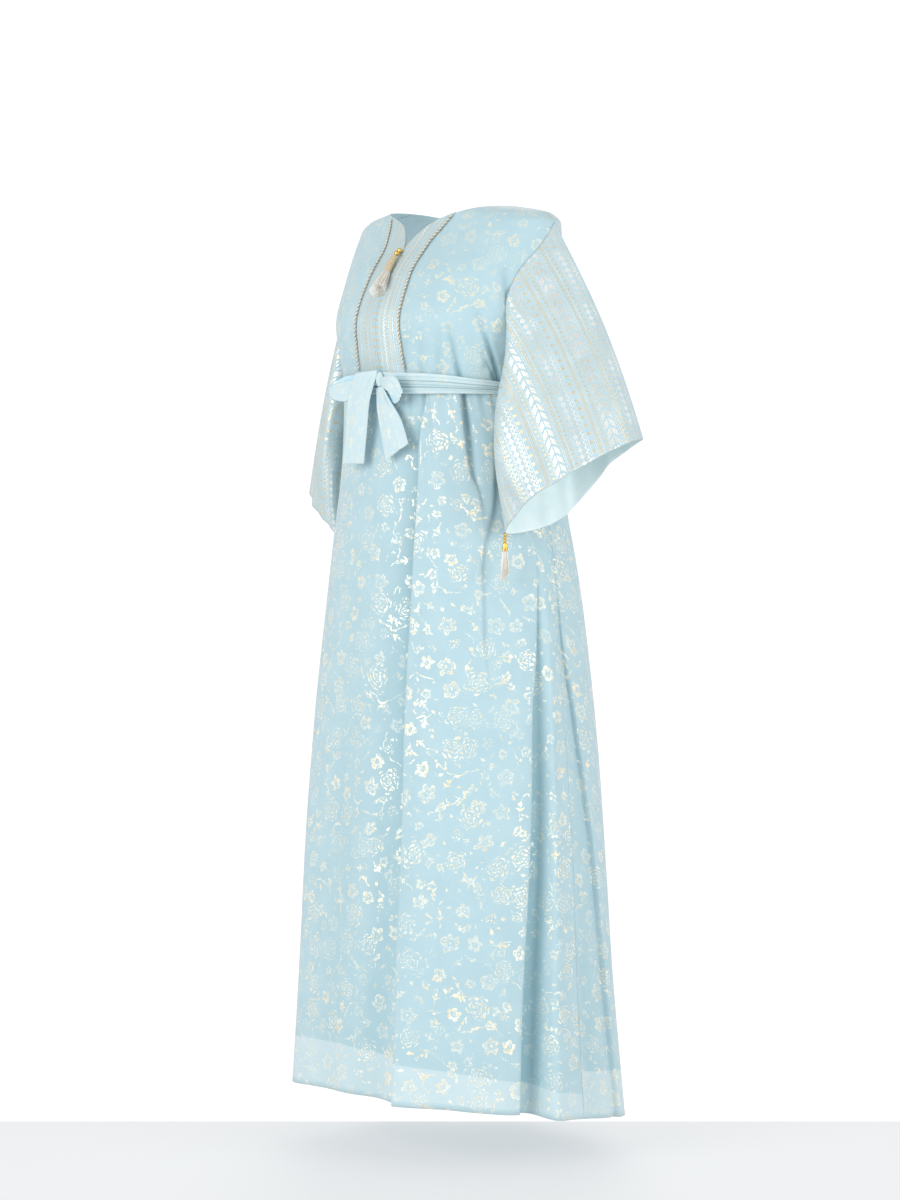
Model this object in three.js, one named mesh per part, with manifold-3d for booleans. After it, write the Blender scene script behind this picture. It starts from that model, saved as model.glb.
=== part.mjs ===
// A long dress of foil printed chiffon with wide striped sleeves, a striped front panel and a tied belt.
// It is hollow and keeps the form in which it is worn. Sizes are in millimetres. +Z is up, the front faces
// -Y and the dress's left side is +X. The origin lies on the shoulder line, midway between the neck points.
// A bearing is an angle round the dress in degrees: 0 is the centre front, 90 its left side, 180 the back.

import * as THREE from 'three';
import Module from 'manifold-3d';
import { mergeVertices } from 'three/addons/utils/BufferGeometryUtils.js';

const WALL = 2;
const SEAM_GAP = 0.3;
const WAIST_SEAM_Z = -291;
const NECK_POINT_X = 115;
const SHOULDER_TIP_Z = -30;
const UNDERARM_Z = -245;
const ARMHOLE_CUT_IN = 19;
const BACK_NECK_DROP = 20;
const NECK_SLIT_Z = -68;
const HEM_Z = -1420;
const HEM_RISE = 30;
const HEM_RISE_BEARING = -5;

// Level sections of the dress: half width, depth from the side line to the front and back, side line's y.
const SECTIONS = [
  { z: -1430, side: 281, front: 233, back: 232, y: -3 },
  { z: -1242, side: 269, front: 222, back: 221, y: -3 },
  { z: -1022, side: 260, front: 209, back: 209, y: -3 },
  { z: -819, side: 245, front: 196, back: 196, y: -3 },
  { z: -640, side: 226, front: 179, back: 179, y: -3 },
  { z: -498, side: 206, front: 165, back: 161, y: -6 },
  { z: -420, side: 191, front: 148, back: 147, y: -17 },
  { z: -345, side: 178, front: 131, back: 134, y: -34 },
  { z: -285, side: 170, front: 120, back: 120, y: -47 },
  { z: -230, side: 178, front: 130, back: 132, y: -45 },
  { z: -175, side: 190, front: 143, back: 138, y: -35 },
  { z: -115, side: 195, front: 137, back: 118, y: -15 },
  { z: -60, side: 207, front: 115, back: 94, y: 4 },
  { z: -30, side: 205, front: 99, back: 84, y: 9 },
  { z: -14, side: 186, front: 92, back: 74, y: 11 },
  { z: -6, side: 152, front: 89, back: 68, y: 12 },
  { z: 0, side: 115, front: 86, back: 62, y: 12 },
  { z: 8, side: 70, front: 82, back: 56, y: 12 },
];

// The front neckline from the slit to the neck point.
const NECKLINE = [
  { x: 0, z: -68 },
  { x: 8, z: -53 },
  { x: 22, z: -36 },
  { x: 42, z: -23 },
  { x: 60, z: -16 },
  { x: 85, z: -8 },
  { x: 115, z: 0 },
];

// Half width of the striped front panel, out to the twisted braid.
const PANEL_EDGE = [
  { z: -292, x: 51 },
  { z: -140, x: 46 },
  { z: -100, x: 44 },
  { z: -66, x: 47 },
  { z: -40, x: 57 },
  { z: -10, x: 72 },
];

// Folds of the skirt: bearings at the hem and under the belt, where it starts, its height (or depth, when
// negative) and half width at the hem, and how far its crest leans round the dress.
const SKIRT_FOLDS = [
  { hem: -165, belt: -158, top: -320, out: 14, half: 42, lean: -8 },
  { hem: -143, belt: -128, top: -380, out: -14, half: 38, lean: 0 },
  { hem: -120, belt: -93, top: -430, out: 18, half: 42, lean: -14 },
  { hem: -100, belt: -89, top: -520, out: -12, half: 34, lean: 0 },
  { hem: -78, belt: -85, top: -400, out: 15, half: 34, lean: 10 },
  { hem: -60, belt: -70, top: -360, out: -14, half: 32, lean: 0 },
  { hem: -38, belt: -42, top: -330, out: 13, half: 42, lean: 8 },
  { hem: -14, belt: -14, top: -360, out: -8, half: 40, lean: 0 },
  { hem: 8, belt: 15, top: -330, out: -10, half: 36, lean: 0 },
  { hem: 26, belt: 33, top: -300, out: 20, half: 40, lean: -24 },
  { hem: 46, belt: 52, top: -380, out: 5, half: 34, lean: 0 },
  { hem: 66, belt: 82, top: -560, out: -28, half: 26, lean: 8 },
  { hem: 78, belt: 85, top: -560, out: 15, half: 24, lean: -10 },
  { hem: 99, belt: 87.5, top: -620, out: -10, half: 40, lean: 0 },
  { hem: 121, belt: 90.5, top: -480, out: 9, half: 42, lean: 12 },
  { hem: 143, belt: 122, top: -400, out: -15, half: 40, lean: 0 },
  { hem: 163, belt: 150, top: -330, out: 15, half: 40, lean: 8 },
  { hem: 181, belt: 178, top: -360, out: -12, half: 36, lean: 0 },
];

// Small pleats that the belt gathers: bearing, depth at the belt and the length over which each dies out.
const WAIST_PLEATS = [
  { belt: -160, depth: 5, length: 150 },
  { belt: -132, depth: 4, length: 90 },
  { belt: -108, depth: 6, length: 170 },
  { belt: -84, depth: 6, length: 200 },
  { belt: -52, depth: 4, length: 110 },
  { belt: -24, depth: 4, length: 150 },
  { belt: 29, depth: 5, length: 240 },
  { belt: 39, depth: 3, length: 50 },
  { belt: 51, depth: 7, length: 180 },
  { belt: 84, depth: 7, length: 230 },
  { belt: 112, depth: 5, length: 160 },
  { belt: 139, depth: 5, length: 110 },
  { belt: 168, depth: 4, length: 140 },
];
const PLEAT_HALF = 10;

// Hem of each sleeve, from its outer top corner round the front, the lower tip and the back.
const SLEEVE_HEM_LEFT = [
  { turn: 0, x: 372, y: 30, z: -368 },
  { turn: 45, x: 356, y: -52, z: -396 },
  { turn: 90, x: 318, y: -106, z: -434 },
  { turn: 135, x: 268, y: -124, z: -468 },
  { turn: 180, x: 212, y: -104, z: -512 },
  { turn: 225, x: 226, y: -40, z: -504 },
  { turn: 270, x: 236, y: 22, z: -474 },
  { turn: 315, x: 298, y: 42, z: -404 },
];
const SLEEVE_HEM_RIGHT = [
  { turn: 0, x: -322, y: 35, z: -400 },
  { turn: 45, x: -304, y: -35, z: -428 },
  { turn: 90, x: -268, y: -70, z: -462 },
  { turn: 135, x: -236, y: -78, z: -490 },
  { turn: 180, x: -210, y: -62, z: -520 },
  { turn: 225, x: -226, y: -8, z: -512 },
  { turn: 270, x: -238, y: 40, z: -480 },
  { turn: 315, x: -286, y: 60, z: -430 },
];
const SLEEVE_BULGE = 13;
const SLEEVE_FRONT_FALL = 34;

// The belt: its upper and lower edges by bearing. It is widest at the knot and narrows to the sides.
const BELT_EDGES = [
  { bearing: 0, top: -262, bottom: -297 },
  { bearing: 35, top: -267, bottom: -297.5 },
  { bearing: 60, top: -275, bottom: -298 },
  { bearing: 90, top: -281, bottom: -299 },
  { bearing: 180, top: -270, bottom: -299 },
];
const BELT_THICKNESS = 4;

const ARMHOLE_STEPS = 10;
const SIDE_STEPS = 2;
const PANEL_COLUMNS = 3;
const NECK_COLUMNS = 2;
const SHOULDER_COLUMNS = 4;
const BACK_NECK_COLUMNS = 4;
const SLEEVE_ROWS = 10;
const SKIRT_COLUMNS = 48;
const SKIRT_ROWS = 12;
const SKIRT_SEAM_HEM = 92;
const BELT_STEPS = 48;

const CHIFFON = { color: 0xb9dfe8, roughness: 0.7, metalness: 0 };
const STRIPED = { color: 0xc3d6d8, roughness: 0.5, metalness: 0.15 };
const BRAID = { color: 0xb99b6b, roughness: 0.5, metalness: 0.4 };
const GOLD = { color: 0xc9962b, roughness: 0.3, metalness: 0.9 };
const THREAD = { color: 0xd9d2c0, roughness: 0.6, metalness: 0.1 };

const { sin, cos, asin, abs, exp, max, min, PI } = Math;
const rad = PI / 180;
const lerp = (a, b, t) => a + (b - a) * t;
const vec = (x, y, z) => new THREE.Vector3(x, y, z);

// A column of a table at a key, by a curve through its rows that never overshoots them.
function lookup(table, key, column, at) {
  const n = table.length;
  let i = 1;
  while (i < n - 1 && table[i][key] < at) i += 1;
  const secant = (k) => {
    const j = max(1, min(n - 1, k));
    return (table[j][column] - table[j - 1][column]) / (table[j][key] - table[j - 1][key]);
  };
  const slope = (k) => {
    const before = secant(k);
    const after = secant(k + 1);
    return before * after <= 0 ? 0 : (2 * before * after) / (before + after);
  };
  const width = table[i][key] - table[i - 1][key];
  const t = max(-0.5, min(1.5, (at - table[i - 1][key]) / width));
  const a = table[i - 1][column];
  const b = table[i][column];
  if (t < 0) return a + slope(i - 1) * width * t;
  if (t > 1) return b + slope(i) * width * (t - 1);
  const s = t * t * (3 - 2 * t);
  return lerp(a, b, s) + width * t * (1 - t) * (slope(i - 1) * (1 - t) - slope(i) * t);
}

// A column of a closed table of turns, smooth all the way round.
function lookupRound(table, column, turn) {
  const n = table.length;
  const at = ((((turn % 360) + 360) % 360) / 360) * n;
  const i = Math.floor(at);
  const t = at - i;
  const [p, q, r, s] = [-1, 0, 1, 2].map((k) => table[(i + k + n) % n][column]);
  return q + 0.5 * t * (r - p + t * (2 * p - 5 * q + 4 * r - s + t * (3 * (q - r) + s - p)));
}

function section(z) {
  const at = (column) => lookup(SECTIONS, 'z', column, z);
  return { side: at('side'), front: at('front'), back: at('back'), y: at('y') };
}

// A point of the bodice: an oval at each level, deeper or shallower behind the side line.
function bodyPoint(bearing, z) {
  const s = section(z);
  const c = cos(bearing * rad);
  const depth = c > 0 ? s.front : s.back;
  return vec(s.side * sin(bearing * rad), s.y - depth * c, z);
}

// The outward normal of a surface point(u, v), away from what inside(u, v) gives.
function normalOf(point, inside, u, v, du, dv) {
  const alongU = point(u + du, v).sub(point(u - du, v));
  const alongV = point(u, v + dv).sub(point(u, v - dv));
  const normal = alongU.cross(alongV).normalize();
  const outward = point(u, v).sub(inside(u, v));
  return outward.dot(normal) < 0 ? normal.negate() : normal;
}

const bodyInside = (bearing, z) => vec(0, section(z).y, z - 40);
const bodyNormal = (bearing, z) => normalOf(bodyPoint, bodyInside, bearing, z, 0.5, 1);

function mesh(name, geometry, finish) {
  const made = new THREE.Mesh(geometry, new THREE.MeshStandardMaterial(finish));
  made.name = name;
  return made;
}

// Turns lists of vertices and triangles into a geometry whose faces point out.
function solid(points, faces) {
  let volume = 0;
  for (const [a, b, c] of faces) volume += points[a].dot(points[b].clone().cross(points[c]));
  const index = faces.flatMap(([a, b, c]) => (volume < 0 ? [a, c, b] : [a, b, c]));
  const geometry = new THREE.BufferGeometry();
  geometry.setAttribute('position', new THREE.Float32BufferAttribute(points.flatMap((p) => p.toArray()), 3));
  geometry.setIndex(index);
  geometry.computeVertexNormals();
  return geometry;
}

// A cloth wall from a grid of { p, n } cells [column][row]: the outer face is the grid, the inner face lies
// one thickness behind it. Open edges are drawn in by the given gap, and closed grids join up round.
function wall(cells, { thickness = WALL, round = false, gap = {} }) {
  const columns = cells.length;
  const rows = cells[0].length;
  const drawIn = (i, j, di, dj, by) => {
    const way = cells[i + di][j + dj].p.clone().sub(cells[i][j].p).normalize();
    return way.multiplyScalar(by);
  };
  const points = [];
  for (const side of [0, thickness]) {
    for (let i = 0; i < columns; i += 1) {
      for (let j = 0; j < rows; j += 1) {
        const p = cells[i][j].p.clone().addScaledVector(cells[i][j].n, -side);
        if (gap.first && i === 0) p.add(drawIn(i, j, 1, 0, gap.first));
        if (gap.last && i === columns - 1) p.add(drawIn(i, j, -1, 0, gap.last));
        if (gap.top && j === 0) p.add(drawIn(i, j, 0, 1, gap.top));
        if (gap.bottom && j === rows - 1) p.add(drawIn(i, j, 0, -1, gap.bottom));
        points.push(p);
      }
    }
  }
  const outer = (i, j) => (i % columns) * rows + j;
  const inner = (i, j) => outer(i, j) + columns * rows;
  const faces = [];
  const quad = (a, b, c, d) => faces.push([a, b, c], [a, c, d]);
  const spans = round ? columns : columns - 1;
  for (let i = 0; i < spans; i += 1) {
    for (let j = 0; j < rows - 1; j += 1) {
      quad(outer(i, j), outer(i, j + 1), outer(i + 1, j + 1), outer(i + 1, j));
      faces.push([inner(i, j), inner(i + 1, j + 1), inner(i, j + 1)]);
      faces.push([inner(i, j), inner(i + 1, j), inner(i + 1, j + 1)]);
    }
    quad(outer(i, 0), outer(i + 1, 0), inner(i + 1, 0), inner(i, 0));
    quad(outer(i + 1, rows - 1), outer(i, rows - 1), inner(i, rows - 1), inner(i + 1, rows - 1));
  }
  if (!round) {
    for (let j = 0; j < rows - 1; j += 1) {
      quad(outer(0, j + 1), outer(0, j), inner(0, j), inner(0, j + 1));
      const last = columns - 1;
      quad(outer(last, j), outer(last, j + 1), inner(last, j + 1), inner(last, j));
    }
  }
  return solid(points, faces);
}

// How far the armhole cuts in towards the front, as the bearing of its edge at each level.
function armholeBearing(z) {
  const t = (SHOULDER_TIP_Z - z) / (SHOULDER_TIP_Z - UNDERARM_Z);
  const inHole = t > 0 && t < 1;
  return inHole ? 90 - ARMHOLE_CUT_IN * sin(PI * t) ** 0.8 : 90;
}

const armholeZ = (turn) => lerp(UNDERARM_Z, SHOULDER_TIP_Z, 0.5 + 0.5 * cos(turn * rad));

// Levels of the rows down the armhole and the side seam, shared by bodice and sleeve.
const SIDE_LEVELS = [];
for (let k = 0; k <= ARMHOLE_STEPS; k += 1) SIDE_LEVELS.push(armholeZ((180 * k) / ARMHOLE_STEPS));
for (let k = 1; k <= SIDE_STEPS; k += 1) SIDE_LEVELS.push(lerp(UNDERARM_Z, WAIST_SEAM_Z, k / SIDE_STEPS));

// A patch of (x, level) pairs between four edges. Its top and bottom are functions of the column's share
// of the way across, its sides of v, and u weighs the two sides.
function patch({ top, bottom, left, right }, share, u, v) {
  const [t, b, l, r] = [top(share), bottom(share), left(v), right(v)];
  const corner = (k) => (
    (1 - u) * (1 - v) * top(0)[k] + u * (1 - v) * top(1)[k] + (1 - u) * v * bottom(0)[k] + u * v * bottom(1)[k]
  );
  return [0, 1].map((k) => (1 - v) * t[k] + v * b[k] + (1 - u) * l[k] + u * r[k] - corner(k));
}

const downTheSide = (v) => {
  const z = lerp(SHOULDER_TIP_Z, WAIST_SEAM_Z, v);
  return [section(z).side * sin(armholeBearing(z) * rad), z];
};
const rowShare = SIDE_LEVELS.map((z) => (z - SHOULDER_TIP_Z) / (WAIST_SEAM_Z - SHOULDER_TIP_Z));
const neckAt = (x) => [x, lookup(NECKLINE, 'x', 'z', x)];
const shoulderAt = (t) => {
  const z = SHOULDER_TIP_Z * t ** 1.6;
  return [section(z).side, z];
};
const PANEL_TOP_X = 71;
const panelEdge = (v) => {
  const z = lerp(neckAt(PANEL_TOP_X)[1], WAIST_SEAM_Z, v);
  return [lookup(PANEL_EDGE, 'z', 'x', z), z];
};
const waist = section(WAIST_SEAM_Z);
const toBearing = ([x, z]) => [asin(min(1, x / section(z).side)) / rad, z];

// Grid of (bearing, level) pairs of half the front, from the centre front to the armhole.
function frontGrid() {
  const panel = {
    top: (share) => neckAt(PANEL_TOP_X * share),
    bottom: (share) => [panelEdge(1)[0] * share, WAIST_SEAM_Z],
    left: (v) => [0, lerp(NECK_SLIT_Z, WAIST_SEAM_Z, v)],
    right: panelEdge,
  };
  const columns = NECK_COLUMNS + SHOULDER_COLUMNS;
  const neckShare = NECK_COLUMNS / columns;
  const [firstBearing] = toBearing(panelEdge(1));
  const sineAt = (share) => sin(lerp(firstBearing, 90, share) * rad);
  const side = {
    top: (share) => (share <= neckShare
      ? neckAt(lerp(PANEL_TOP_X, NECK_POINT_X, share / neckShare))
      : shoulderAt((share - neckShare) / (1 - neckShare))),
    bottom: (share) => [waist.side * sineAt(share), WAIST_SEAM_Z],
    left: panelEdge,
    right: downTheSide,
  };
  const grid = [];
  for (let i = 0; i <= PANEL_COLUMNS; i += 1) {
    const share = i / PANEL_COLUMNS;
    grid.push(rowShare.map((v) => toBearing(patch(panel, share, share, v))));
  }
  for (let i = 1; i <= columns; i += 1) {
    const u = (sineAt(i / columns) - sineAt(0)) / (1 - sineAt(0));
    grid.push(rowShare.map((v) => toBearing(patch(side, i / columns, u, v))));
  }
  return grid;
}

// The same for half the back, from the centre back to the armhole.
function backGrid() {
  const columns = BACK_NECK_COLUMNS + SHOULDER_COLUMNS;
  const neckShare = BACK_NECK_COLUMNS / columns;
  const panel = {
    top: (share) => {
      if (share > neckShare) return shoulderAt((share - neckShare) / (1 - neckShare));
      const across = share / neckShare;
      return [NECK_POINT_X * across, -BACK_NECK_DROP * (1 - across ** 2)];
    },
    bottom: (share) => [waist.side * sin(90 * share * rad), WAIST_SEAM_Z],
    left: (v) => [0, lerp(-BACK_NECK_DROP, WAIST_SEAM_Z, v)],
    right: downTheSide,
  };
  const grid = [];
  for (let i = 0; i <= columns; i += 1) {
    const share = i / columns;
    const u = sin(90 * share * rad);
    grid.push(rowShare.map((v) => {
      const [bearing, z] = toBearing(patch(panel, share, u, v));
      return [180 - bearing, z];
    }));
  }
  return grid;
}

// Cells of a bodice grid, on the left (hand 1) or the right (hand -1), moved out from the body by `out`.
function bodiceCells(grid, hand, out = 0) {
  return grid.map((column) => column.map(([bearing, z]) => {
    const n = bodyNormal(hand * bearing, z);
    return { p: bodyPoint(hand * bearing, z).addScaledVector(n, out), n };
  }));
}

const halfGap = SEAM_GAP / 2;
const garment = new THREE.Group();
const front = frontGrid();
const back = backGrid();

for (const [hand, side] of [[1, 'left'], [-1, 'right']]) {
  const cells = bodiceCells(front, hand);
  const gap = { first: halfGap, last: halfGap, top: halfGap, bottom: halfGap };
  garment.add(mesh(`bodice_front_${side}`, wall(cells, { gap }), CHIFFON));
}

const backCells = [...bodiceCells(back.slice(1), 1).reverse(), ...bodiceCells(back, -1)];
const backGap = { first: halfGap, last: halfGap, top: halfGap, bottom: halfGap };
garment.add(mesh('bodice_back', wall(backCells, { gap: backGap }), CHIFFON));

// The striped front panel lies on the bodice, from the slit to the braid.
const PANEL_THICKNESS = 1.2;
const PANEL_OUT = SEAM_GAP + PANEL_THICKNESS;
for (const [hand, side] of [[1, 'left'], [-1, 'right']]) {
  const cells = bodiceCells(front.slice(0, PANEL_COLUMNS + 1), hand, PANEL_OUT);
  const gap = { first: halfGap, last: 0, top: SEAM_GAP, bottom: SEAM_GAP };
  garment.add(mesh(`plastron_${side}`, wall(cells, { thickness: PANEL_THICKNESS, gap }), STRIPED));
}

// Twisted braid along the panel's edge, a round cord laid on it.
const BRAID_RADIUS = 2;
const BRAID_STEPS = 26;
const BRAID_TOP = 0.02;
const BRAID_END_Z = -258;
const BRAID_BOTTOM = (BRAID_END_Z - neckAt(PANEL_TOP_X)[1]) / (WAIST_SEAM_Z - neckAt(PANEL_TOP_X)[1]);
function cord(points, radius, steps, sides) {
  const profile = new THREE.Shape();
  for (let k = 0; k < sides; k += 1) {
    const [x, y] = [radius * cos((2 * PI * k) / sides), radius * sin((2 * PI * k) / sides)];
    if (k === 0) profile.moveTo(x, y);
    else profile.lineTo(x, y);
  }
  profile.closePath();
  const extrudePath = new THREE.CatmullRomCurve3(points);
  return new THREE.ExtrudeGeometry(profile, { steps, bevelEnabled: false, extrudePath, curveSegments: 1 });
}
for (const [hand, side] of [[1, 'left'], [-1, 'right']]) {
  const points = [];
  for (let k = 0; k <= BRAID_STEPS; k += 1) {
    const [bearing, z] = toBearing(panelEdge(lerp(BRAID_TOP, BRAID_BOTTOM, k / BRAID_STEPS)));
    const lift = PANEL_OUT + SEAM_GAP + BRAID_RADIUS;
    points.push(bodyPoint(hand * bearing, z).addScaledVector(bodyNormal(hand * bearing, z), lift));
  }
  garment.add(mesh(`braid_${side}`, cord(points, BRAID_RADIUS, BRAID_STEPS, 6), BRAID));
}

// A sleeve runs from the armhole to its wide slanting hem. Its top swells a little and its front falls
// forward of the straight line between them.
function sleeveSurface(hand, hemTable) {
  const armhole = (turn) => {
    const z = armholeZ(turn);
    const bearing = armholeBearing(z);
    return bodyPoint(hand * (sin(turn * rad) >= 0 ? bearing : 180 - bearing), z);
  };
  const hem = (turn) => vec(...['x', 'y', 'z'].map((column) => lookupRound(hemTable, column, turn)));
  return (turn, v) => {
    const along = sin(PI * max(0, min(1, v)));
    const flute = 5 * v * v * sin((turn * 4 + 60) * rad) * (0.5 - 0.5 * cos(turn * rad));
    const swell = SLEEVE_BULGE * along * (0.5 + 0.5 * cos(turn * rad));
    const fall = SLEEVE_FRONT_FALL * along * exp(-(((turn - 150) / 42) ** 2));
    const p = armhole(turn).lerp(hem(turn), v);
    return p.add(vec(hand * (swell - 0.25 * fall), -fall - flute, 0.3 * swell));
  };
}

const sleeves = { left: sleeveSurface(1, SLEEVE_HEM_LEFT), right: sleeveSurface(-1, SLEEVE_HEM_RIGHT) };
for (const [side, surface] of Object.entries(sleeves)) {
  const cells = [];
  const inside = (turn, v) => (
    surface(0, v).add(surface(90, v)).add(surface(180, v)).add(surface(270, v)).divideScalar(4)
  );
  for (let i = 0; i < 2 * ARMHOLE_STEPS; i += 1) {
    const turn = (180 * i) / ARMHOLE_STEPS;
    const column = [];
    for (let j = 0; j <= SLEEVE_ROWS; j += 1) {
      const v = j / SLEEVE_ROWS;
      column.push({ p: surface(turn, v), n: normalOf(surface, inside, turn, v, 1, 0.01) });
    }
    cells.push(column);
  }
  garment.add(mesh(`sleeve_${side}`, wall(cells, { round: true, gap: { top: SEAM_GAP } }), STRIPED));
}

// The skirt. Its fold lines run from the belt to the hem, so a column of the grid keeps to one place of a
// fold all the way down, and the folds are crests and troughs that lean round the dress.
const FOLD_RING = [-360, 0, 360].flatMap((turn) => (
  SKIRT_FOLDS.map((fold) => ({ ...fold, hem: fold.hem + turn, belt: fold.belt + turn }))
));
const hemZ = (bearing) => HEM_Z + HEM_RISE * cos((bearing - HEM_RISE_BEARING) * rad);
const SKIRT_TOP_Z = WAIST_SEAM_Z - halfGap;
const HEM_RADIUS = 260;
const BELT_RADIUS = 147;
function skirtPoint(hemBearing, v) {
  const z = lerp(SKIRT_TOP_Z, hemZ(hemBearing), v);
  const beltBearing = lookup(FOLD_RING, 'hem', 'belt', hemBearing);
  const bearing = lerp(beltBearing, hemBearing, v) * rad;
  let out = 0;
  let round = 0;
  for (const fold of FOLD_RING) {
    const s = ((hemBearing - fold.hem) * rad * HEM_RADIUS) / fold.half;
    if (abs(s) > 3) continue;
    const grow = max(0, (fold.top - z) / (fold.top - HEM_Z)) ** 0.9 * exp(-s * s);
    out += fold.out * grow;
    round += fold.lean * grow;
  }
  for (const pleat of WAIST_PLEATS) {
    const s = ((beltBearing - pleat.belt) * rad * BELT_RADIUS) / PLEAT_HALF;
    const left = max(0, 1 - (SKIRT_TOP_Z - z) / pleat.length);
    out -= pleat.depth * left * exp(-s * s);
  }
  const s = section(z);
  const depth = cos(bearing) > 0 ? s.front : s.back;
  const way = vec(sin(bearing) / s.side, -cos(bearing) / depth, 0).normalize();
  const p = vec(s.side * sin(bearing), s.y - depth * cos(bearing), z);
  return p.addScaledVector(way, out).add(vec(-way.y, way.x, 0).multiplyScalar(round));
}

function skirt(name, from, to) {
  const inside = (bearing, v) => vec(0, 0, skirtPoint(bearing, v).z);
  const cells = [];
  for (let i = 0; i <= SKIRT_COLUMNS; i += 1) {
    const bearing = lerp(from, to, i / SKIRT_COLUMNS);
    const column = [];
    for (let j = 0; j <= SKIRT_ROWS; j += 1) {
      const v = (j / SKIRT_ROWS) ** 1.25;
      column.push({ p: skirtPoint(bearing, v), n: normalOf(skirtPoint, inside, bearing, v, 0.3, 0.003) });
    }
    cells.push(column);
  }
  return mesh(name, wall(cells, { gap: { first: halfGap, last: halfGap } }), CHIFFON);
}
garment.add(skirt('skirt_front', -SKIRT_SEAM_HEM, SKIRT_SEAM_HEM));
garment.add(skirt('skirt_back', SKIRT_SEAM_HEM, 360 - SKIRT_SEAM_HEM));

// The belt is a folded sash drawn round the waist.
const BELT_CLEAR = 3;
function beltPoint(bearing, z, out) {
  const s = section(z);
  const c = cos(bearing * rad);
  const depth = (c > 0 ? s.front : s.back) + BELT_CLEAR + out;
  return vec((s.side + BELT_CLEAR + out) * sin(bearing * rad), s.y - depth * c, z);
}
{
  const cells = [];
  for (let i = 0; i < BELT_STEPS; i += 1) {
    const bearing = (360 * i) / BELT_STEPS - 180;
    const edge = (column) => lookup(BELT_EDGES, 'bearing', column, abs(bearing));
    const column = [0, 1 / 3, 2 / 3, 1].map((v, j) => {
      const z = lerp(edge('top'), edge('bottom'), v);
      const fullness = j === 1 || j === 2 ? BELT_THICKNESS : BELT_THICKNESS - 1;
      const p = beltPoint(bearing, z, fullness);
      return { p, n: vec(sin(bearing * rad), -cos(bearing * rad), 0) };
    });
    cells.push(column);
  }
  garment.add(mesh('belt_band', wall(cells, { thickness: BELT_THICKNESS - 1, round: true }), CHIFFON));
}

// A strip of sash along a path of rows with its centre and the way across it, each edge half a width away.
function strip(rows, width, thickness, columns = 4) {
  const surface = (across, along) => {
    const at = (column) => lookup(rows, 'at', column, along);
    const way = vec(at('ax'), at('ay'), at('az')).normalize();
    const sag = (at('cup') || 0) * (1 - 4 * across * across);
    return vec(at('x'), at('y') - sag, at('z')).addScaledVector(way, across * width * at('wide'));
  };
  const cells = [];
  const steps = (rows.length - 1) * 3;
  for (let i = 0; i <= columns; i += 1) {
    const column = [];
    for (let j = 0; j <= steps; j += 1) {
      const [across, along] = [i / columns - 0.5, lerp(rows[0].at, rows[rows.length - 1].at, j / steps)];
      const dAcross = surface(across + 0.01, along).sub(surface(across - 0.01, along));
      const dAlong = surface(across, along + 0.01).sub(surface(across, along - 0.01));
      column.push({ p: surface(across, along), n: dAcross.cross(dAlong).normalize() });
    }
    cells.push(column);
  }
  return wall(cells, { thickness });
}

// The knot is a small firm pad that rests on the belt.
const KNOT = { x: 8, z: -274, wide: 15, high: 24, deep: 9 };
const beltFaceY = beltPoint((asin(KNOT.x / section(KNOT.z).side)) / rad, KNOT.z, BELT_THICKNESS).y;
const knotY = beltFaceY - SEAM_GAP - KNOT.deep / 2;

// The bow. Each strip has its centre line, the way across it, its share of the full width and its cup.
const SASH_WIDTH = 48;
const SASH_THICKNESS = 1.6;
const TAIL_LEFT = [
  { at: 0, x: -15, y: -186.2, z: -262, ax: 1, ay: 0.15, az: 0.1, wide: 0.92, cup: 2 },
  { at: 1, x: -17, y: -186.8, z: -270, ax: 1, ay: 0.15, az: 0.1, wide: 0.95, cup: 3 },
  { at: 2, x: -26, y: -191, z: -308, ax: 1, ay: 0.05, az: 0.12, wide: 1, cup: 3 },
  { at: 3, x: -39, y: -184, z: -358, ax: 1, ay: 0.02, az: 0.05, wide: 1, cup: 4 },
  { at: 4, x: -51, y: -180, z: -406, ax: 1, ay: 0.05, az: 0, wide: 1, cup: 4 },
];
const TAIL_RIGHT = [
  { at: 0, x: 8, y: -179.5, z: -286.3, ax: 1, ay: 0, az: 0.2, wide: 0.3, cup: 1 },
  { at: 1, x: 19, y: -181, z: -312, ax: 1, ay: 0.05, az: 0.3, wide: 0.62, cup: 3 },
  { at: 2, x: 32, y: -176, z: -350, ax: 1, ay: 0.1, az: 0.45, wide: 0.96, cup: 3 },
  { at: 3, x: 43, y: -174, z: -388, ax: 1, ay: 0.12, az: 0.6, wide: 1.1, cup: 3 },
];
garment.add(mesh('belt_tail_left', strip(TAIL_LEFT, SASH_WIDTH, SASH_THICKNESS), CHIFFON));
garment.add(mesh('belt_tail_right', strip(TAIL_RIGHT, SASH_WIDTH, SASH_THICKNESS), CHIFFON));

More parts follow.
